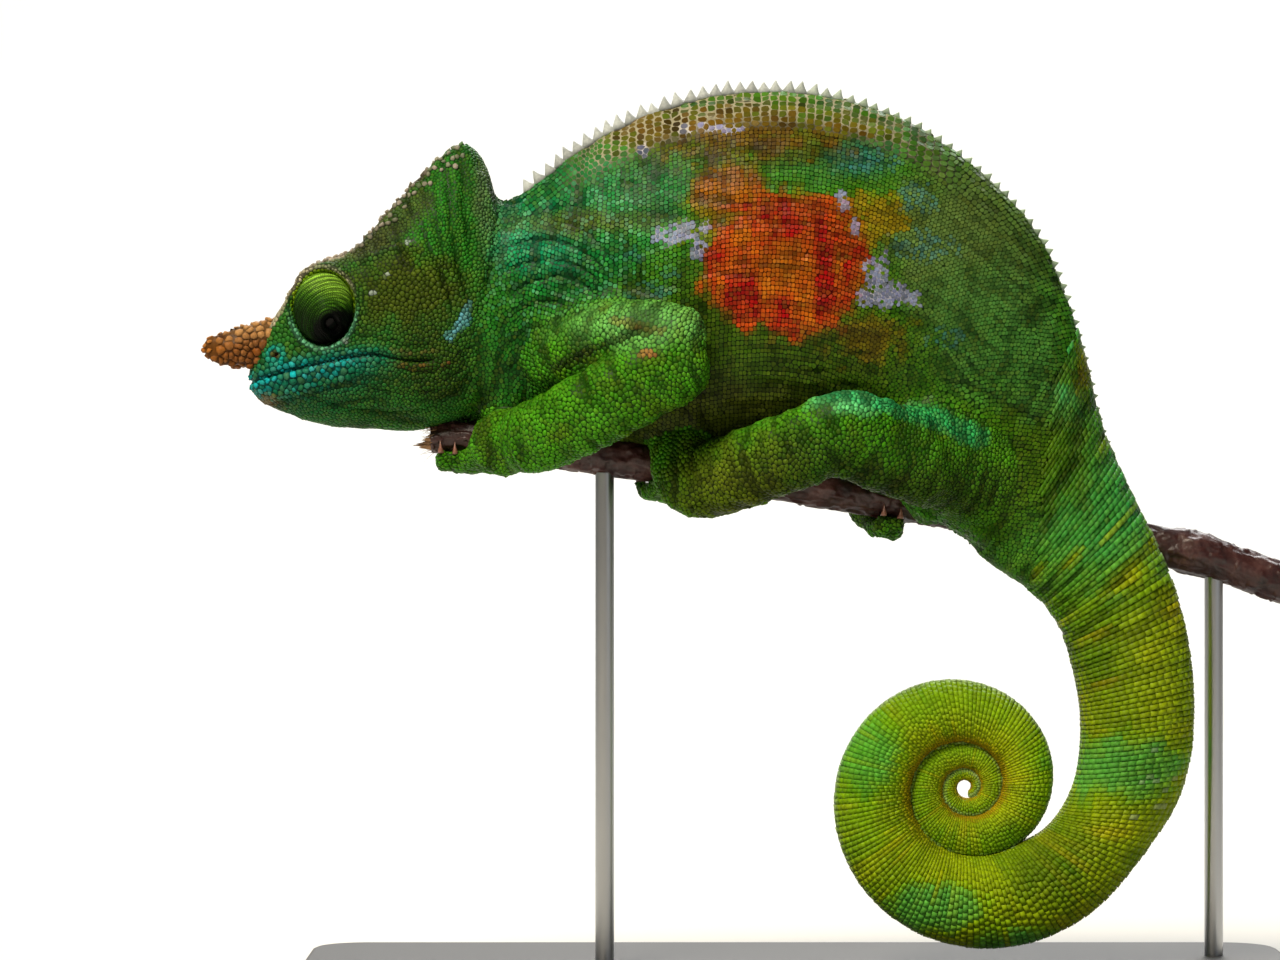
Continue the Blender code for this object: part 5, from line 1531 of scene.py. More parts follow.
def tail_tones(p, row, back, chance):
    """Yellow greens with greener bars and rings, an orange inner side and a painted shadow, near black, along
    the slit where the turns press together.
    """
    thick = along(OUTLINE, row)
    deep = back / (1.55 * np.hypot(thick[:, 0] - thick[:, 2], thick[:, 1] - thick[:, 3]) + 0.01)
    inner = ease(row, 24, 30)
    ring = scatter_field(flat_places(row * 4.5, back * 0.10), 1.0, 58)
    flecks = chance < blot(p, 74, 47, 4, 6, 0.6, 0.8, 57, 2.0) * 0.16
    bars = [("#57a458", blot(p, *bar, 0.5, 0.5, 52 + k) * 0.8) for k, bar in enumerate(TAIL_BARS)]
    tones = painted(ground("#7e9a34", p), [
        ("#98a83c", 0.5 + 0.5 * rough_field(p, 6.0, 51)),
        ("#3f9454", 0.9 * (1 - ease(row + 0.8 * rough_field(p, 5.0, 50), 12.8, 15.2))),
        ("#668a36", ease(deep, 0.4, 0.75) * (1 - ease(row, 18, 20)) * 0.6),
        ("#4d7020", blot(p, 58, 66, 9, 26, 0.7, 0.4, 49, 5.0) * 0.6),
        ("#b3bd44", blot(p, 52, 52, 12, 14, 0.7, 0.3, 48, 5.0) * 0.6),
        *bars,
        ("#3f5f1c", blot(p, 52, 30, 9, 9, 0.6, 0.4, 56) * 0.7),
        ("#a9b4a4", np.where(flecks, 0.4, 0.0)),
        ("#c2ac3c", ease(ring, 0.15, 0.9) * 0.35),
        ("#3c6a24", ease(-ring, 0.15, 0.9) * 0.45),
        ("#a8701e", ease(deep, 0.62, 0.82) * inner * 0.55),
        ("#5f9a38", inner * (1 - ease(deep, 0.35, 0.6)) * 0.4),
        ("#b8ad74", ease(deep, 0.84, 0.93) * ease(row, 18, 21) * 0.6),
        # Painted shadow where each turn of the coil presses against the next
        ("#1d1a06", ease(deep, 0.94, 1.0) * ease(row, 22, 25) * 0.85),
    ])
    shade = 0.74 + 0.20 * ease(row, 17, 21) - 0.08 * ease(row, 24, 30)
    return tones * (TAIL_DEPTH * shade)[:, None]


def limb_tones(p, row, back, chance):
    """Greens with painted mint highlights on upper arm, knee and thigh, a painted shadow in the elbow's crook
    and a brown fold at the elbow.
    """
    tones = painted(ground("#3f7a26", p), [
        ("#5a9640", 0.5 + 0.5 * rough_field(p, 5.0, 61)),
        # Painted highlights on the top of the upper arm, the top of the knee and along the top of the thigh
        ("#80bc74", blot(p, -33, 142, 16, 5.0, 0.6, 0.4, 65) * 0.8),
        ("#8ae8a0", blot(p, 9, 127.5, 8, 4, 0.6, 0.4, 62, 3.0) * 0.95),
        ("#4fb878", streak(p, THIGH_HIGHLIGHT, 2.4, 0.5, 69) * 0.7),
        ("#55601e", ease(rough_field(p, 5.0, 63), 0.1, 0.7) * 0.5),
        ("#33461a", blot(p, 22, 106, 26, 7, 0.6, 0.4, 66) * 0.8),
        ("#33501a", blot(p, 1, 112, 10, 8, 0.6, 0.4, 68) * 0.8),
        ("#5f6424", blot(p, -16, 108, 12, 10, 0.6, 0.4, 67, 3.0) * 0.75),
    ])
    return painted(tones * LIMB_DEPTH, [
        # Painted shadow in the crook between upper arm and forearm
        ("#12200a", streak(p, CROOK_SHADOW, 0.9, 0.5, 70) * 0.75),
        ("#6b4a34", streak(p, ELBOW_FOLD, 0.8) * 0.5),
        ("#8a6048", blot(p, -32.2, 135.2, 1.9, 0.8, 0.3, 0.6, 64, 1.2) * 0.8),
    ])


BODY_GUIDES = np.flatnonzero((GUIDE_ZONE == TRUNK_ZONE) | (GUIDE_ZONE == TAIL_ZONE))
LIMB_GUIDES = np.flatnonzero(GUIDE_ZONE == LIMB_ZONE)
BODY_GUIDE_TREE = tree_of(GUIDE_POINTS[BODY_GUIDES])
LIMB_GUIDE_TREE = tree_of(GUIDE_POINTS[LIMB_GUIDES])


def with_soft_joints(points, seat, chance, tones):
    """Lets the colours of limb and body run into one another where they meet."""
    zone = GUIDE_ZONE[seat]
    close = (zone == LIMB_ZONE) | (zone == TRUNK_ZONE) | (zone == TAIL_ZONE)
    close = np.flatnonzero(close & (points[:, 0] > -64) & (points[:, 0] < 66))
    p = points[close]
    body_seat, body_gap = nearest(BODY_GUIDE_TREE, p)
    limb_seat, limb_gap = nearest(LIMB_GUIDE_TREE, p)
    near = (body_gap < 6) & (limb_gap < 6) & ((p[:, 0] > 22) | (p[:, 0] < -44))
    close, p, difference = close[near], p[near], (body_gap - limb_gap)[near]
    body_seat = BODY_GUIDES[body_seat[near]]
    body = trunk_tones(p, GUIDE_ROW[body_seat], GUIDE_BACK[body_seat], chance[close])
    limb = limb_tones(p, GUIDE_ROW[body_seat], GUIDE_BACK[body_seat], chance[close])
    share = ease(difference + rough_field(p, 3.0, 16), -4.5, 4.5)[:, None]
    tones[close] = body + (limb - body) * share
    return tones


def with_soft_rump(points, seat, chance, tones):
    """Lets the colours of the rump run into those of the tail."""
    body = (GUIDE_ZONE[seat] == TRUNK_ZONE) | (GUIDE_ZONE[seat] == TAIL_ZONE)
    rump = np.flatnonzero(body & (GUIDE_ROW[seat] > 10.4) & (GUIDE_ROW[seat] < 14.0))
    p, seat, chance = points[rump], seat[rump], chance[rump]
    trunk = trunk_tones(p, GUIDE_ROW[seat], GUIDE_BACK[seat], chance)
    tail = tail_tones(p, GUIDE_ROW[seat], GUIDE_BACK[seat], chance)
    share = ease(GUIDE_ROW[seat] + 0.5 * rough_field(p, 4.0, 18), 10.8, 13.6)[:, None]
    tones[rump] = trunk + (tail - trunk) * share
    return tones


def with_soft_nape(points, seat, chance, tones):
    """Lets the colours of the head run into those of the neck."""
    zone = GUIDE_ZONE[seat]
    nape = (zone == TRUNK_ZONE) & (points[:, 0] < -56) | (zone == HEAD_ZONE) & (points[:, 0] > -78)
    p, seat, chance = points[nape], seat[nape], chance[nape]
    border = np.interp(p[:, 2], (120, 140, 170), (-70, -67, -64))
    share = ease(p[:, 0] - border, -4, 4)[:, None]
    head = head_tones(p, GUIDE_ROW[seat], np.full(len(p), 20.0), chance)
    tones[nape] = head + (trunk_tones(p, GUIDE_ROW[seat], GUIDE_BACK[seat], chance) - head) * share
    return tones


def skin_tones(points, seat, chance):
    """The animal's colours, the same for its skin and its scales."""
    tones = np.zeros((len(points), 3))
    for zone, maker in enumerate((trunk_tones, head_tones, tail_tones, limb_tones, limb_tones)):
        here = GUIDE_ZONE[seat] == zone
        if here.any():
            tones[here] = maker(points[here], GUIDE_ROW[seat[here]], GUIDE_BACK[seat[here]], chance[here])
    for softened in (with_soft_joints, with_soft_nape, with_soft_rump):
        tones = softened(points, seat, chance, tones)
    grey = tones.mean(1, keepdims=True)
    return np.clip(grey + SATURATION * (tones - grey), 0.003, 1)


def crest_band(points, seat):
    """1 in the band of large scales beside the crest, whose columns are parted by cream lines."""
    beside = (GUIDE_ZONE[seat] == TRUNK_ZONE) * (1 - ease(GUIDE_BACK[seat], 7.5, 14.0))
    return beside * ease(points[:, 0], -52, -40) * (1 - ease(points[:, 0], 12, 36))


def groove_tones(points, seat, tones):
    """The darker bare skin between the scales."""
    pale = ease(tones[:, 2], 0.15, 0.26) * (GUIDE_ZONE[seat] == TRUNK_ZONE)
    tones = tones * np.choose(GUIDE_ZONE[seat], (0.18, 0.24, 0.30, 0.22, 0.22))[:, None]
    return painted(tones, [("#b4b4c2", 0.7 * pale), ("#b9b394", 0.55 * crest_band(points, seat))])


# Materials

def add_node(tree, kind, links=None, values=None, **settings):
    """Adds a node with its settings, its values and the sockets that feed it."""
    node = tree.nodes.new(kind)
    for name, value in settings.items():
        setattr(node, name, value)
    for socket, value in (values or {}).items():
        node.inputs[socket].default_value = value
    for socket, source in (links or {}).items():
        tree.links.new(source, node.inputs[socket])
    return node


def bumps(size):
    """The scale of a noise whose bumps are this many millimetres across."""
    return 1 / (size * MM)


def new_material(name, **values):
    material = bpy.data.materials.new(name)
    material.use_nodes = True
    shader = material.node_tree.nodes["Principled BSDF"]
    for socket, value in values.items():
        shader.inputs[socket.replace("_", " ")].default_value = value
    return material, material.node_tree, shader


def scale_keratin():
    """Reptile scales: waxy, softly glossy, with a fine grain and a tone that shifts from scale to scale.
    A bump of the grain is about half a millimetre across."""
    material, tree, shader = new_material("scale_keratin", Roughness=0.40, Specular_IOR_Level=0.07)
    tone = add_node(tree, "ShaderNodeAttribute", attribute_name="tone")
    place = add_node(tree, "ShaderNodeTexCoord")
    grain = add_node(tree, "ShaderNodeTexNoise", {"Vector": place.outputs["Object"]},
                     {"Scale": bumps(5 / 9), "Detail": 3.0})
    shade = add_node(tree, "ShaderNodeMapRange", {"Value": grain.outputs["Fac"]},
                     {"From Min": 0.25, "From Max": 0.75, "To Min": 0.80, "To Max": 1.22})
    mixed = add_node(tree, "ShaderNodeVectorMath",
                     {0: tone.outputs["Color"], "Scale": shade.outputs["Result"]}, operation="SCALE")
    tree.links.new(mixed.outputs[0], shader.inputs["Base Color"])
    bump = add_node(tree, "ShaderNodeBump", {"Height": grain.outputs["Fac"]},
                    {"Strength": 0.25, "Distance": 0.12 * MM})
    tree.links.new(bump.outputs["Normal"], shader.inputs["Normal"])
    return material


def plain(name, colour, roughness, metallic=0.0):
    """A finish of one even colour."""
    material, tree, shader = new_material(name, Roughness=roughness, Metallic=metallic)
    shader.inputs["Base Color"].default_value = (*linear(colour), 1.0)
    return material


def dress(thing, material):
    thing.data.materials.clear()
    thing.data.materials.append(material)
    return thing


# Pieces

# The row where the flank's two parts meet, and the number that parts forelegs from hind legs
FLANK_MIDDLE = 5.2
HINDLEG_GROUP = 1.5
# A fold this high or deep, in millimetres, has its full light or shade
FOLD_FULL = 0.22


def coat_name(points, seat):
    """Which piece of the coat each scale belongs to."""
    zone, row = GUIDE_ZONE[seat], GUIDE_ROW[seat]
    trunk, tail, limb = zone == TRUNK_ZONE, zone == TAIL_ZONE, (zone == LIMB_ZONE) | (zone == FOOT_ZONE)
    left = points[:, 1] < 0
    front, drop, foreleg = row < FLANK_MIDDLE, row < FIRST_COIL_ROW, row < HINDLEG_GROUP
    pieces = {
        "coat_flank_left_front": trunk & left & front,
        "coat_flank_left_rear": trunk & left & ~front,
        "coat_flank_right_front": trunk & ~left & front,
        "coat_flank_right_rear": trunk & ~left & ~front,
        "coat_tail_drop": tail & drop,
        "coat_tail_coil": tail & ~drop,
        "coat_forelegs": limb & foreleg,
        "coat_hindlegs": limb & ~foreleg,
    }
    return np.select(list(pieces.values()), list(pieces), "coat_head")


def knobs(points, pitches, seat):
    """1 for the raised knobs on the front edge of the casque and over the eye."""
    edge = (GUIDE_ZONE[seat] == HEAD_ZONE) & (GUIDE_BACK[seat] < 13) & (points[:, 0] > -103)
    return (edge & (pitches > 1.10)).astype(float)


def spine_share(seat):
    """1 on the ridge along the top of the tail."""
    return (GUIDE_ZONE[seat] == TAIL_ZONE) * (1 - ease(GUIDE_BACK[seat], 0.8, 2.2))


def coat_tones(points, seat, chance, crease, fold, draw):
    """Colours of the scales and of the grooves between them, with painted shade in the creases and folds and
    painted light on top of the folds.
    """
    valley = np.clip(-fold / FOLD_FULL, 0, 1)[:, None]
    ridge = np.clip(fold / FOLD_FULL, 0, 1)[:, None]
    tones = skin_tones(points, seat, chance)
    grooves = groove_tones(points, seat, tones)
    uneven = 0.86 + 0.28 * draw.random((len(points), 1))
    # Painted shade in the creases and in the valleys of the folds, over a tone that differs at random from
    # scale to scale
    tones *= uneven * (1 - 0.45 * crease[:, None]) * (1 - 0.60 * valley)
    # Painted shade in the depths of the folds of loose skin
    tones *= 1 - 0.60 * fold_depth(points, seat)[:, None]
    # Painted light on the tops of the folds, and a tone that wanders at random
    tones *= 1 + 0.30 * ridge + 0.16 * rough_field(points, 2.4, 15)[:, None]
    tones = blend(tones, "#8f9a2e", 0.10 * draw.random(len(points)) ** 2)
    return blend(tones, "#aab89a", 0.30 * spine_share(seat)), grooves


def scale_heights(seat, pitches, edges, crease, band, knob, plates, draw):
    """How far each scale's top stands above the skin. The tail's plates come first."""
    zone = GUIDE_ZONE[seat]
    size = np.linalg.norm(edges, axis=2).mean(axis=1)
    height = (0.06 + 0.14 * size) * (0.75 + 0.5 * draw.random(len(seat))) * (1 - 0.4 * crease)
    height *= np.choose(zone, (1.0, 0.70, 1.3, 0.90, 0.9)) * (1 - 0.4 * band)
    height[:plates] = (0.05 + 0.12 * pitches[:plates]) * draw.uniform(0.9, 1.1, plates)
    lip = (zone == HEAD_ZONE) & (pitches > 1.30) & (knob == 0)
    return height + 0.34 * knob + 0.14 * lip + 0.10 * spine_share(seat) * ease(pitches, 0.5, 1.2)


def with_cream_columns(grooves, band):
    """A groove colour for each corner: cream between the columns of the band beside the crest."""
    column_side = np.abs(np.cos(np.radians(CELL_TURNS)))
    cream = (band[:, None] * (0.30 + 0.7 * column_side))[..., None]
    return grooves[:, None] + (linear("#bdb89c") - grooves)[:, None] * cream


def make_coat(skin, keratin):
    """The scales of the whole skin, in nine pieces."""
    points, normals, pitches, seat, (plate_edges, plate_tops) = scale_places(skin)
    draw = np.random.default_rng(21)
    plates = len(plate_edges)
    zone = GUIDE_ZONE[seat]
    chance = draw.random(len(points))
    flat = unwrapped(points, normals, seat)
    crease = creases(flat, seat)
    fold = wrinkles(points, flat, seat)
    tones, grooves = coat_tones(points, seat, chance, crease, fold, draw)
    band = crest_band(points, seat)
    crown = np.choose(zone, (0.88, 0.91, 0.88, 0.90, 0.90)) + 0.04 * band
    stretch = np.choose(zone, (1.25 + 0.45 * ease(GUIDE_ROW[seat], 8.5, 11.0), 1.1, 1.3, 1.6, 1.3))
    edges, tops = cell_shapes(points, normals, GUIDE_LIE[seat], pitches, stretch, crown, 0.12 * band)
    edges[:plates], tops[:plates] = plate_edges, plate_tops
    points[:plates] += normals[:plates] * (fold[:plates] * (zone[:plates] == TAIL_ZONE))[:, None]
    joined = np.zeros(edges.shape[:2])
    joined[:plates] = PLATE_JOINED
    knob = knobs(points, pitches, seat)
    height = scale_heights(seat, pitches, edges, crease, band, knob, plates, draw)
    tones = blend(tones, "#8f877a", knob * (0.20 + 0.75 * chance))
    grooves = with_cream_columns(grooves, band)
    names = coat_name(points, seat)
    for name in sorted(set(names.tolist())):
        here = names == name
        shapes = [values[here] for values in (points, normals, edges, tops, height, tones, grooves)]
        piece = scales_mesh(name, *shapes, bake_places(flat[here]), joined[here], zone[here] != TRUNK_ZONE)
        dress(piece, keratin)
        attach(piece, "root")


# Cones, for the crest, the claws and the torn wood: share of the length and of the width at each level
CONE_LEVELS = np.array((0.0, 0.25, 0.5, 0.75, 0.92, 1.0))
CONE_WIDTHS = np.array((1.0, 0.76, 0.48, 0.25, 0.11, 0.02))
CONE_SIDES = 9
# How light a cone of the crest is at each level
CREST_SHADES = np.array((0.35, 0.7, 1.0, 1.05, 1.1, 1.1))


def cones_mesh(name, roots, tips, alongs, half_along, half_across, bends, sides=CONE_SIDES):
    """Joined curved cones. Each bends towards `bends` on its way to the tip."""
    turns = circle(sides)
    axis = tips - roots
    first = unit(alongs - unit(axis) * np.sum(alongs * unit(axis), axis=1, keepdims=True))
    second = np.cross(unit(axis), first)
    spokes = (first[:, None] * np.cos(turns)[:, None] * half_along[:, None, None]
              + second[:, None] * np.sin(turns)[:, None] * half_across[:, None, None])
    bend = bends[:, None] * (CONE_LEVELS ** 2 - CONE_LEVELS)[:, None]
    middles = roots[:, None] + axis[:, None] * CONE_LEVELS[:, None] + bend
    points = middles[:, :, None] + spokes[:, None] * CONE_WIDTHS[:, None, None]
    faces = []
    for k in range(len(roots)):
        faces += loft_faces(len(CONE_LEVELS), sides, k * len(CONE_LEVELS) * sides)
    thing = mesh_object(name, points.reshape(-1, 3), faces)
    thing.data.shade_smooth()
    return thing


def crest_spots(draw):
    """The outline's row at the foot of each cone. The cones stand wider apart on the tail."""
    rows = np.arange(CREST_FIRST_ROW, CREST_LAST_ROW, 0.01)
    walked = walked_along(along(OUTLINE, rows)[:, :2])
    spots = []
    here = 0.5
    while here < walked[-1]:
        spots.append(np.interp(here, walked, rows))
        here += (CREST_SPACING if spots[-1] < KEEL_END else CREST_SPACING_TAIL) * draw.uniform(0.9, 1.1)
    return np.array(spots)


def make_crest(keratin):
    """The row of small pale cones along the back and the first of the tail."""
    draw = np.random.default_rng(5)
    spots = crest_spots(draw)
    row = along(OUTLINE, spots)
    back = np.stack([row[:, 0], 0 * spots, row[:, 1]], -1)
    belly = np.stack([row[:, 2], 0 * spots, row[:, 3]], -1)
    ahead = along(OUTLINE, spots + 0.05)
    towards = unit(np.stack([ahead[:, 0] - row[:, 0], 0 * spots, ahead[:, 1] - row[:, 1]], -1))
    outwards = unit(back - belly)
    outwards = unit(outwards - towards * np.sum(outwards * towards, axis=1, keepdims=True))
    height = np.array([crest_height(r) for r in spots]) * draw.uniform(0.75, 1.12, len(spots))
    lean = (height * draw.uniform(-0.1, 0.3, len(spots)))[:, None]
    tips = back + outwards * height[:, None] + towards * lean
    small = 1 - 0.35 * ease(spots, CREST_FADE_ROW, CREST_FADE_ROW + 2)
    crest = cones_mesh("crest", back - outwards * CREST_ROOT, tips, towards,
                       2.0 * small, 1.2 * small, towards * (0.3 * height)[:, None])
    pale = painted(ground("#a4aaa8", spots), [
        ("#8fa48a", ease(spots, 4.6, 7.0)),
        ("#7f9a4a", ease(spots, 12.5, 16.0)),
    ])
    pale *= draw.uniform(0.8, 1.15, (len(spots), 1))
    shades = np.tile(np.repeat(CREST_SHADES, CONE_SIDES), len(spots))
    colour_points(crest, np.repeat(pale, len(CREST_SHADES) * CONE_SIDES, axis=0) * shades[:, None])
    dress(crest, keratin)
    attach(crest, "root")


def make_claws():
    """Short curved spikes at the toes' ends, of dark, smooth, slightly glossy horn."""
    horn = plain("claw_horn", "#7a5344", 0.34)
    places, headings, inward = (np.array(part) for part in zip(*CLAW_ROOTS))
    roots = places - headings * CLAW_SINK
    tips = roots + headings * (0.7 * CLAW_LENGTH + CLAW_SINK) + inward * 0.7 * CLAW_LENGTH
    across = np.cross(headings, inward)
    size = np.full(len(roots), CLAW_RADIUS)
    claws = cones_mesh("claws", roots, tips, across, size * 0.8, size, inward * 1.6)
    dress(claws, horn)
    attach(claws, "root")


def covered_form(name, rings, pitch, height, tone_of, keratin, draw, uneven=0.0):
    """A closed form covered with scales of its own: returns the core and its coat."""
    core = tubes_object(name, [rings])
    smooth_outwards(core)
    cover = skin_tree(core)
    grown = Spacing()
    if uneven:
        spots, normals = strewn(core, 30, draw)
        wanted = [(spot, pitch * draw.uniform(1 - uneven, 1 + uneven), 0.8) for spot in spots]
    else:
        wanted = laid_in_rings(rings, pitch, 0.72, draw)
    for point, own, closest in wanted:
        spot, normal, face, gap = cover.find_nearest(point)
        if grown.free(spot, own, closest):
            grown.add(spot, normal, own)
    points, normals, pitches = (np.array(part) for part in (grown.points, grown.normals, grown.pitches))
    lies = unit(np.cross(normals, DEPTH + 0.01))
    even = np.ones(len(points))
    edges, tops = cell_shapes(points, normals, lies, pitches * (1 + uneven), even, 0.80 * even, 0 * even)
    tones = tone_of(points, draw.random(len(points)))
    heights = height * (0.6 + 0.8 * draw.random(len(points)))
    coat = scales_mesh(name + "_scales", points, normals, edges, tops, heights, tones, tones * 0.40,
                       bake_places(points[:, (0, 2)]))
    colour_points(core, tone_of(mesh_points(core.data), np.full(len(core.data.vertices), 0.5)) * 0.3)
    for piece in (core, coat):
        dress(piece, keratin)
        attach(piece, "root")
    return core, coat


def horn_rings(side):
    """The snout's growth in rings from its root to its blunt, lumpy end."""
    rows = along(HORN, np.linspace(0, len(HORN) - 1, 40))
    share = np.linspace(0, 1, 40)
    angles = circle(28)
    end = np.sqrt(np.maximum(0.02, 1 - np.maximum(0, (share - 0.9) / 0.1) ** 2))
    spokes = np.stack([0 * angles, np.sin(angles), np.cos(angles)], -1)[None]
    size = np.stack([0 * share, rows[:, 4], rows[:, 3]], -1)[:, None] * end[:, None, None]
    rings = rows[:, None, :3] * (1, side, 1) + spokes * size * 0.94
    lumps = 0.16 * rough_field(rings.reshape(-1, 3), 2.8, 71 + side).reshape(rings.shape[:2] + (1,))
    middle = rings.mean(1, keepdims=True)
    return middle + (rings - middle) * (1 + 2.0 * lumps)


def horn_tones(p, chance):
    """Tan horn, paler above where light is painted on, paler towards the tip, with dark brown between its
    lumps.
    """
    return painted(ground("#744218", p), [
        # Painted light on the upper side, with some paler at random
        ("#ac8250", ease(p[:, 2], 136.5, 141) * 0.7 + 0.2 * chance),
        ("#b0702e", ease(-p[:, 0], 118, 124) * 0.6),
        ("#5d3418", ease(rough_field(p, 1.6, 74), 0.0, 0.6) * 0.75),
    ])


def make_horns(keratin):
    """The two warty growths of the snout, each a core with large uneven tiles."""
    draw = np.random.default_rng(31)
    for word, side in (("left", -1), ("right", 1)):
        core, coat = covered_form(f"horn_core_{word}", horn_rings(side), HORN_TILE, HORN_TILE_HEIGHT,
                                  horn_tones, keratin, draw, HORN_TILE_UNEVEN)
        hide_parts(f"horn_{word}")


def turret_rings(side):
    """The eye's turret in rings about its line of sight, from the rim of the opening to the back."""
    gaze = np.array((GAZE_OFFSET[0] / EYE_RADII[0], 0, -GAZE_OFFSET[1] / EYE_RADII[2]))
    gaze[1] = side * math.sqrt(1 - gaze @ gaze)
    first = unit(np.cross(gaze, UP))
    second = np.cross(first, gaze)
    open_angle = math.radians(APERTURE)
    polar = np.concatenate([[open_angle * 0.75, open_angle * 0.72, open_angle * 0.85],
                            np.linspace(open_angle, math.radians(158), 120)])
    sink = np.concatenate([[0.80, 0.9, 0.955], np.ones(120)])
    around = circle(96)
    oval = 1 + 0.38 * np.cos(2 * (around - APERTURE_TURN * side))
    theta = polar[:, None] * (1 + (oval - 1)[None] * bell(polar[:, None] - open_angle, 0.35))
    shape = (np.cos(theta)[..., None] * gaze + np.sin(theta)[..., None]
             * (first * np.cos(around)[None, :, None] + second * np.sin(around)[None, :, None]))
    lip = 0.018 * bell(polar - open_angle - 0.07, 0.06)
    ripple = 0.010 * np.cos(polar * 6.8 * 2 * math.pi / 0.62)
    scale = (sink + lip + ripple * (sink == 1))[:, None, None]
    centre = EYE * (1, side, 1)
    return centre + shape * EYE_RADII * scale * 0.975, gaze, centre


def eye_tones(p, chance):
    """The lids' green, with dark rings about the opening, painted light on the top, painted shade on the
    lower front and a painted shadow, near black, round the opening.
    """
    side = np.sign(p[:, 1])
    aim = np.stack([np.full(len(p), EYE[0] + GAZE_OFFSET[0]), side * (EYE[1] + 4.2),
                    np.full(len(p), EYE[2] - GAZE_OFFSET[1])], -1)
    gap = np.linalg.norm(p - aim, axis=1)
    long = 0.80 * (p[:, 0] - aim[:, 0]) + 0.60 * (p[:, 2] - aim[:, 2])
    wide = 0.80 * (p[:, 2] - aim[:, 2]) - 0.60 * (p[:, 0] - aim[:, 0])
    # 1 on the lower front of the turret, where shade is painted
    low = ease(149 - p[:, 2] + (EYE[0] - p[:, 0]) * 0.6, 0.5, 8.0)
    rings = 0.5 + 0.5 * np.cos(gap * 2 * math.pi / 0.95)
    return painted(ground("#467c18", p), [
        # Painted light on the turret's top, then painted shade on its lower front
        ("#a4dc48", ease(p[:, 2] + (p[:, 0] - EYE[0]) * 0.3, 146.5, 151.5) * 0.9),
        ("#081803", low * 0.95),
        ("#163806", rings * 0.78),
        # Painted shadow, near black, round the opening
        ("#040603", 1 - ease(np.hypot(long / 1.30, wide), 3.2, 4.9)),
    ])


def make_eyes(keratin):
    """The scaled turrets and, in their openings, near-black eyeballs with a wet gloss."""
    draw = np.random.default_rng(41)
    wet, tree, shader = new_material("wet_eyeball", Roughness=0.22, Specular_IOR_Level=0.12)
    shader.inputs["Base Color"].default_value = (*linear("#050304"), 1.0)
    for word, side in (("left", -1), ("right", 1)):
        rings, gaze, centre = turret_rings(side)
        core, coat = covered_form(f"turret_{word}", rings, LID_SCALE, LID_SCALE_HEIGHT,
                                  eye_tones, keratin, draw)
        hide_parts(f"eye_{word}")
        ball_centre = centre + gaze * EYE_RADII * 0.12
        ball = tubes_object(f"eyeball_{word}", [ball_rings(ball_centre, EYE_RADII * 0.66, 64, 72)])
        ball.data.shade_smooth()
        dress(ball, wet)
        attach(ball, "root")


def bark_rings(count, sides):
    """The branch in rings, with ridges, flakes and one knuckle. It is smoother where the feet hold it."""
    t = np.linspace(0, 9.94, count)
    row = along(BRANCH, t)
    axis = unit(np.gradient(row[:, :3], axis=0))
    rise = unit(UP - axis * (axis @ UP)[:, None])
    out = np.cross(axis, rise)
    angles = circle(sides)
    spokes = rise[:, None] * np.cos(angles)[None, :, None] + out[:, None] * np.sin(angles)[None, :, None]
    rings = row[:, None, :3] + spokes * row[:, 3, None, None]
    walked = row[:, 0, None] + 0 * angles[None]
    flat = np.stack(np.broadcast_arrays(walked * 0.28, np.cos(angles) * 4.0, np.sin(angles) * 4.0), -1)
    flat = flat.reshape(-1, 3)
    ridges = 0.26 * rough_field(flat, 0.8, 81) + 0.22 * np.abs(rough_field(flat, 1.7, 82))
    flakes = 0.34 * (ease(rough_field(flat * (1.6, 1, 1), 1.1, 83), 0.05, 0.14) - 0.5)
    knuckle = 0.9 * bell(t - 8.9, 0.16)[:, None] * (0.6 + 0.4 * np.cos(angles - 0.6)[None])
    lift = (ridges + flakes).reshape(len(t), sides) + knuckle
    held = ((t > 0.7) & (t < 6.3))[:, None]
    lift = np.where(held, np.minimum(lift, 0.22) - 0.06, lift)
    return rings + spokes * lift[..., None]


def bark_material():
    """Bark: dry, dark purplish brown, greyer in patches about 6 mm across, with a grain of 1 mm."""
    material, tree, shader = new_material("weathered_bark", Roughness=0.42)
    place = add_node(tree, "ShaderNodeTexCoord")
    coarse = add_node(tree, "ShaderNodeTexNoise", {"Vector": place.outputs["Object"]},
                      {"Scale": bumps(6.25), "Detail": 8.0, "Roughness": 0.7})
    ramp = add_node(tree, "ShaderNodeValToRGB", {"Fac": coarse.outputs["Fac"]})
    ramp.color_ramp.elements[0].position = 0.32
    ramp.color_ramp.elements[0].color = (*linear("#190b0b"), 1)
    ramp.color_ramp.elements[1].position = 0.72
    ramp.color_ramp.elements[1].color = (*linear("#5f423e"), 1)
    middle = ramp.color_ramp.elements.new(0.5)
    middle.color = (*linear("#361815"), 1)
    tree.links.new(ramp.outputs["Color"], shader.inputs["Base Color"])
    fine = add_node(tree, "ShaderNodeTexNoise", {"Vector": place.outputs["Object"]},
                    {"Scale": bumps(10 / 9), "Detail": 6.0})
    bump = add_node(tree, "ShaderNodeBump", {"Height": fine.outputs["Fac"]},
                    {"Strength": 0.6, "Distance": 0.3 * MM})
    tree.links.new(bump.outputs["Normal"], shader.inputs["Normal"])
    return material


def make_branch():
    """The branch in its bark, with its broken end."""
    bark = tubes_object("branch_bark", [bark_rings(640, 64)])
    bark.data.shade_smooth()
    dress(bark, bark_material())
    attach(bark, "root")
    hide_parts("perch")
    make_broken_end()


SPLINTERS = 26
FIBRES = 60


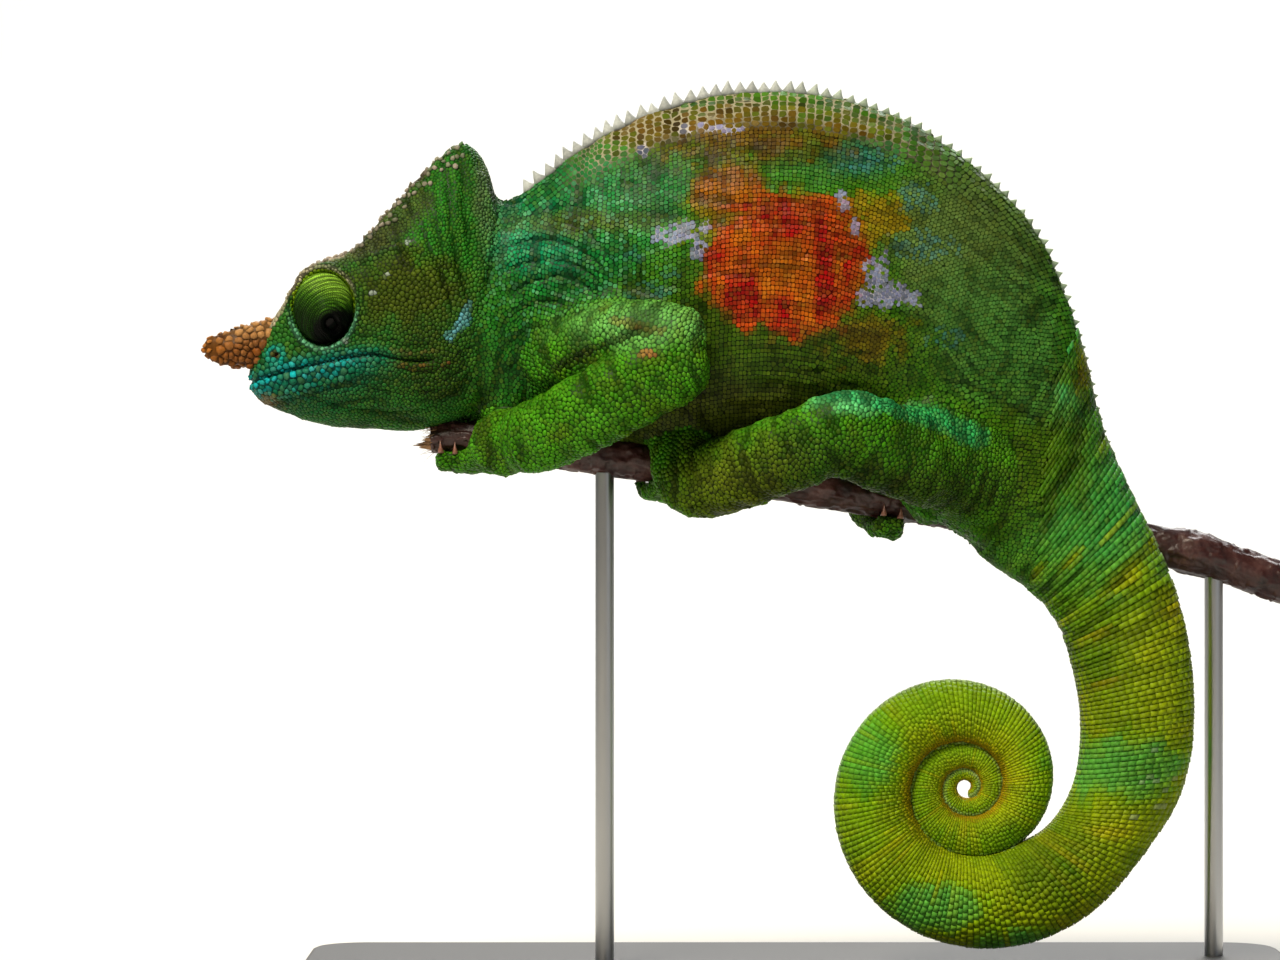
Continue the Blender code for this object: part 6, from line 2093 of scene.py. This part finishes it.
def make_broken_end():
    """Torn pale wood and loose fibres at the branch's broken end: dull, dry and bare."""
    draw = np.random.default_rng(61)
    centre, radius, axis, rise, out = branch_frame(0.02)
    angles = np.concatenate([draw.uniform(0, 2 * math.pi, SPLINTERS), draw.uniform(0, 2 * math.pi, FIBRES)])
    share = np.concatenate([np.sqrt(draw.uniform(0, 0.8, SPLINTERS)), draw.uniform(0.9, 1.02, FIBRES)])
    reach = share * radius
    seats = centre + (rise * np.cos(angles)[:, None] + out * np.sin(angles)[:, None]) * reach[:, None]
    low = np.clip(0.5 - np.cos(angles) * reach / radius, 0.1, 1.5)
    splinters, fibres = draw.uniform(2.4, 4.6, SPLINTERS) * low[:SPLINTERS], draw.uniform(1.0, 3.4, FIBRES)
    lengths = np.concatenate([splinters, fibres])[:, None]
    loose = np.repeat((0.10, 0.5), (SPLINTERS, FIBRES))[:, None]
    spread = (rise * draw.normal(0, 1, (len(angles), 1)) + out * draw.normal(0, 1, (len(angles), 1))) * loose
    tips = seats - axis * lengths + spread * lengths
    size = np.concatenate([draw.uniform(0.5, 0.95, SPLINTERS), draw.uniform(0.05, 0.10, FIBRES)])
    alongs = np.tile(rise, (len(angles), 1))
    wood = cones_mesh("broken_wood", seats + axis * 1.2, tips, alongs, size, size * 0.6, spread * 1.5, 6)
    dress(wood, plain("broken_wood", "#a07a55", 0.8))
    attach(wood, "root")


def plate_rings():
    """Rings of the plate with its round corners, from its foot to the chamfer on top: inset and height."""
    rings = []
    for inset, z in ((0.6, 0.0), (0.0, 0.6), (0.0, BASE_THICKNESS - BASE_EDGE), (0.35, BASE_THICKNESS - 0.35),
                     (BASE_EDGE, BASE_THICKNESS)):
        radius = BASE_CORNER - inset
        ring = []
        for corner, (sx, sy) in enumerate(((1, 1), (-1, 1), (-1, -1), (1, -1))):
            for a in np.linspace(0, math.pi / 2, 13) + corner * math.pi / 2:
                ring.append((sx * (BASE_LENGTH / 2 - BASE_CORNER) + radius * math.cos(a),
                             sy * (BASE_WIDTH / 2 - BASE_CORNER) + radius * math.sin(a), z))
        rings.append(ring)
    return np.array(rings)


def rod_rings(x):
    """A rod's foot and head, which end inside the plate and the branch."""
    rows = along(BRANCH, np.linspace(0, 10, 400))
    row = rows[np.argmin(np.abs(rows[:, 0] - x))]
    round_it = [(x + ROD_RADIUS * math.cos(a), row[1] + ROD_RADIUS * math.sin(a)) for a in circle(48)]
    heights = (BASE_THICKNESS - 0.5, row[2] - row[3] + 0.6)
    return np.array([[(*place, z) for place in round_it] for z in heights])


def make_stand():
    """A plate of powder-coated steel, dark and satin, and two rods of brushed steel with a soft gloss."""
    steel = plain("brushed_steel", "#b9bbbd", 0.28, 1.0)
    coated = plain("powder_coated_steel", "#3a3b3d", 0.55)
    pieces = [(tubes_object("stand_plate", [plate_rings()]), coated, "stand_base", "stand")]
    for name, x in (("stand_rod_front", ROD_FRONT_X), ("stand_rod_rear", ROD_REAR_X)):
        rod = tubes_object(name.replace("stand_rod", "steel_rod"), [rod_rings(x)])
        pieces.append((rod, steel, name, "rod"))
    for piece, material, node, slot in pieces:
        dress(piece, material)
        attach(piece, "root")
        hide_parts(node)


FLESH = ["neck", "torso_front", "torso_rear", "pelvis", "tail_base", "tail_drop", "tail_bend",
         "tail_coil_outer", "tail_coil_middle", "tail_coil_inner", "head", "casque", "lower_jaw"]
for kind, word, side, upper, lower, foot in LIMBS:
    FLESH += [f"{kind}_{word}_upper", f"{kind}_{word}_lower", f"{foot}_{word}"]


def finish_skin(skin):
    """Gives the skin its colours, fixes it to the root and hides every node of flesh."""
    points = mesh_points(skin.data)
    seat = guide_of(points)
    colour_points(skin, groove_tones(points, seat, skin_tones(points, seat, np.full(len(points), 0.5))))
    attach(skin, "root")
    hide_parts(*FLESH)


# The studio's sweep of paper: where it starts to rise behind the animal, and its size
SWEEP_START = 2000
SWEEP_RADIUS = 500
SWEEP_HEIGHT = 2200
SWEEP_WIDTH = 2500


def make_stage():
    """A sweep of matt, nearly white paper without any gloss."""
    turns = np.linspace(0, math.pi / 2, 13)
    sweep = [(SWEEP_START + SWEEP_RADIUS * math.sin(a), SWEEP_RADIUS * (1 - math.cos(a))) for a in turns]
    rows = [(-SWEEP_WIDTH, 0), (0, 0)] + sweep + [(SWEEP_START + SWEEP_RADIUS, SWEEP_HEIGHT)]
    points = [(x, y, z) for y, z in rows for x in (-SWEEP_WIDTH, SWEEP_WIDTH)]
    faces = [(2 * k, 2 * k + 1, 2 * k + 3, 2 * k + 2) for k in range(len(rows) - 1)]
    floor = mesh_object("studio_sweep", points, faces)
    floor.data.shade_smooth()
    dress(floor, plain("matt_paper", "#dcdbd6", 0.95))


def area_light(name, place, target, size, power, colour="#ffffff"):
    """A soft lamp that faces its target. Its size is in metres and its power in watts."""
    data = bpy.data.lights.new(name, "AREA")
    data.shape = "RECTANGLE"
    data.size, data.size_y = size
    data.energy = power
    data.color = linear(colour)
    light = new_object(name, data)
    light.location = Vector(place) * MM
    light.rotation_euler = (Vector(target) - Vector(place)).to_track_quat("-Z", "Y").to_euler()


def make_lights():
    """A warm key lamp from the upper left, faint lamps to fill and to edge, and lamps for the paper."""
    middle = (-10, 0, 110)
    area_light("key_softbox", (-420, -600, 950), middle, (0.32, 0.32), 17.5, "#fff2dc")
    area_light("fill_softbox", (800, -900, 200), middle, (0.9, 0.9), 0.7, "#e8f2ff")
    area_light("rim_softbox", (250, 700, 800), middle, (0.6, 0.4), 6)
    area_light("backdrop_softbox", (0, 1800, 1500), (0, 2600, 500), (2.4, 0.6), 28)
    area_light("floor_softbox", (0, 1300, 1500), (0, 1300, 0), (2.4, 1.2), 22)
    world = bpy.data.worlds.new("studio")
    world.use_nodes = True
    background = world.node_tree.nodes["Background"]
    background.inputs["Color"].default_value = (1, 1, 1, 1)
    background.inputs["Strength"].default_value = 0.06
    bpy.context.scene.world = world
    bpy.context.scene.view_settings.view_transform = "Standard"


def make_camera():
    data = bpy.data.cameras.new("camera")
    data.lens = CAMERA_LENS
    data.sensor_width = CAMERA_SENSOR
    camera = new_object("camera", data)
    camera.location = Vector(CAMERA_PLACE) * MM
    camera.rotation_euler = (math.pi / 2, 0, 0)
    bpy.context.scene.camera = camera


make_camera()
make_lights()
make_stage()
keratin = scale_keratin()
skin = dress(make_skin(), keratin)
make_coat(skin, keratin)
finish_skin(skin)
make_crest(keratin)
make_horns(keratin)
make_eyes(keratin)
make_claws()
make_branch()
make_stand()
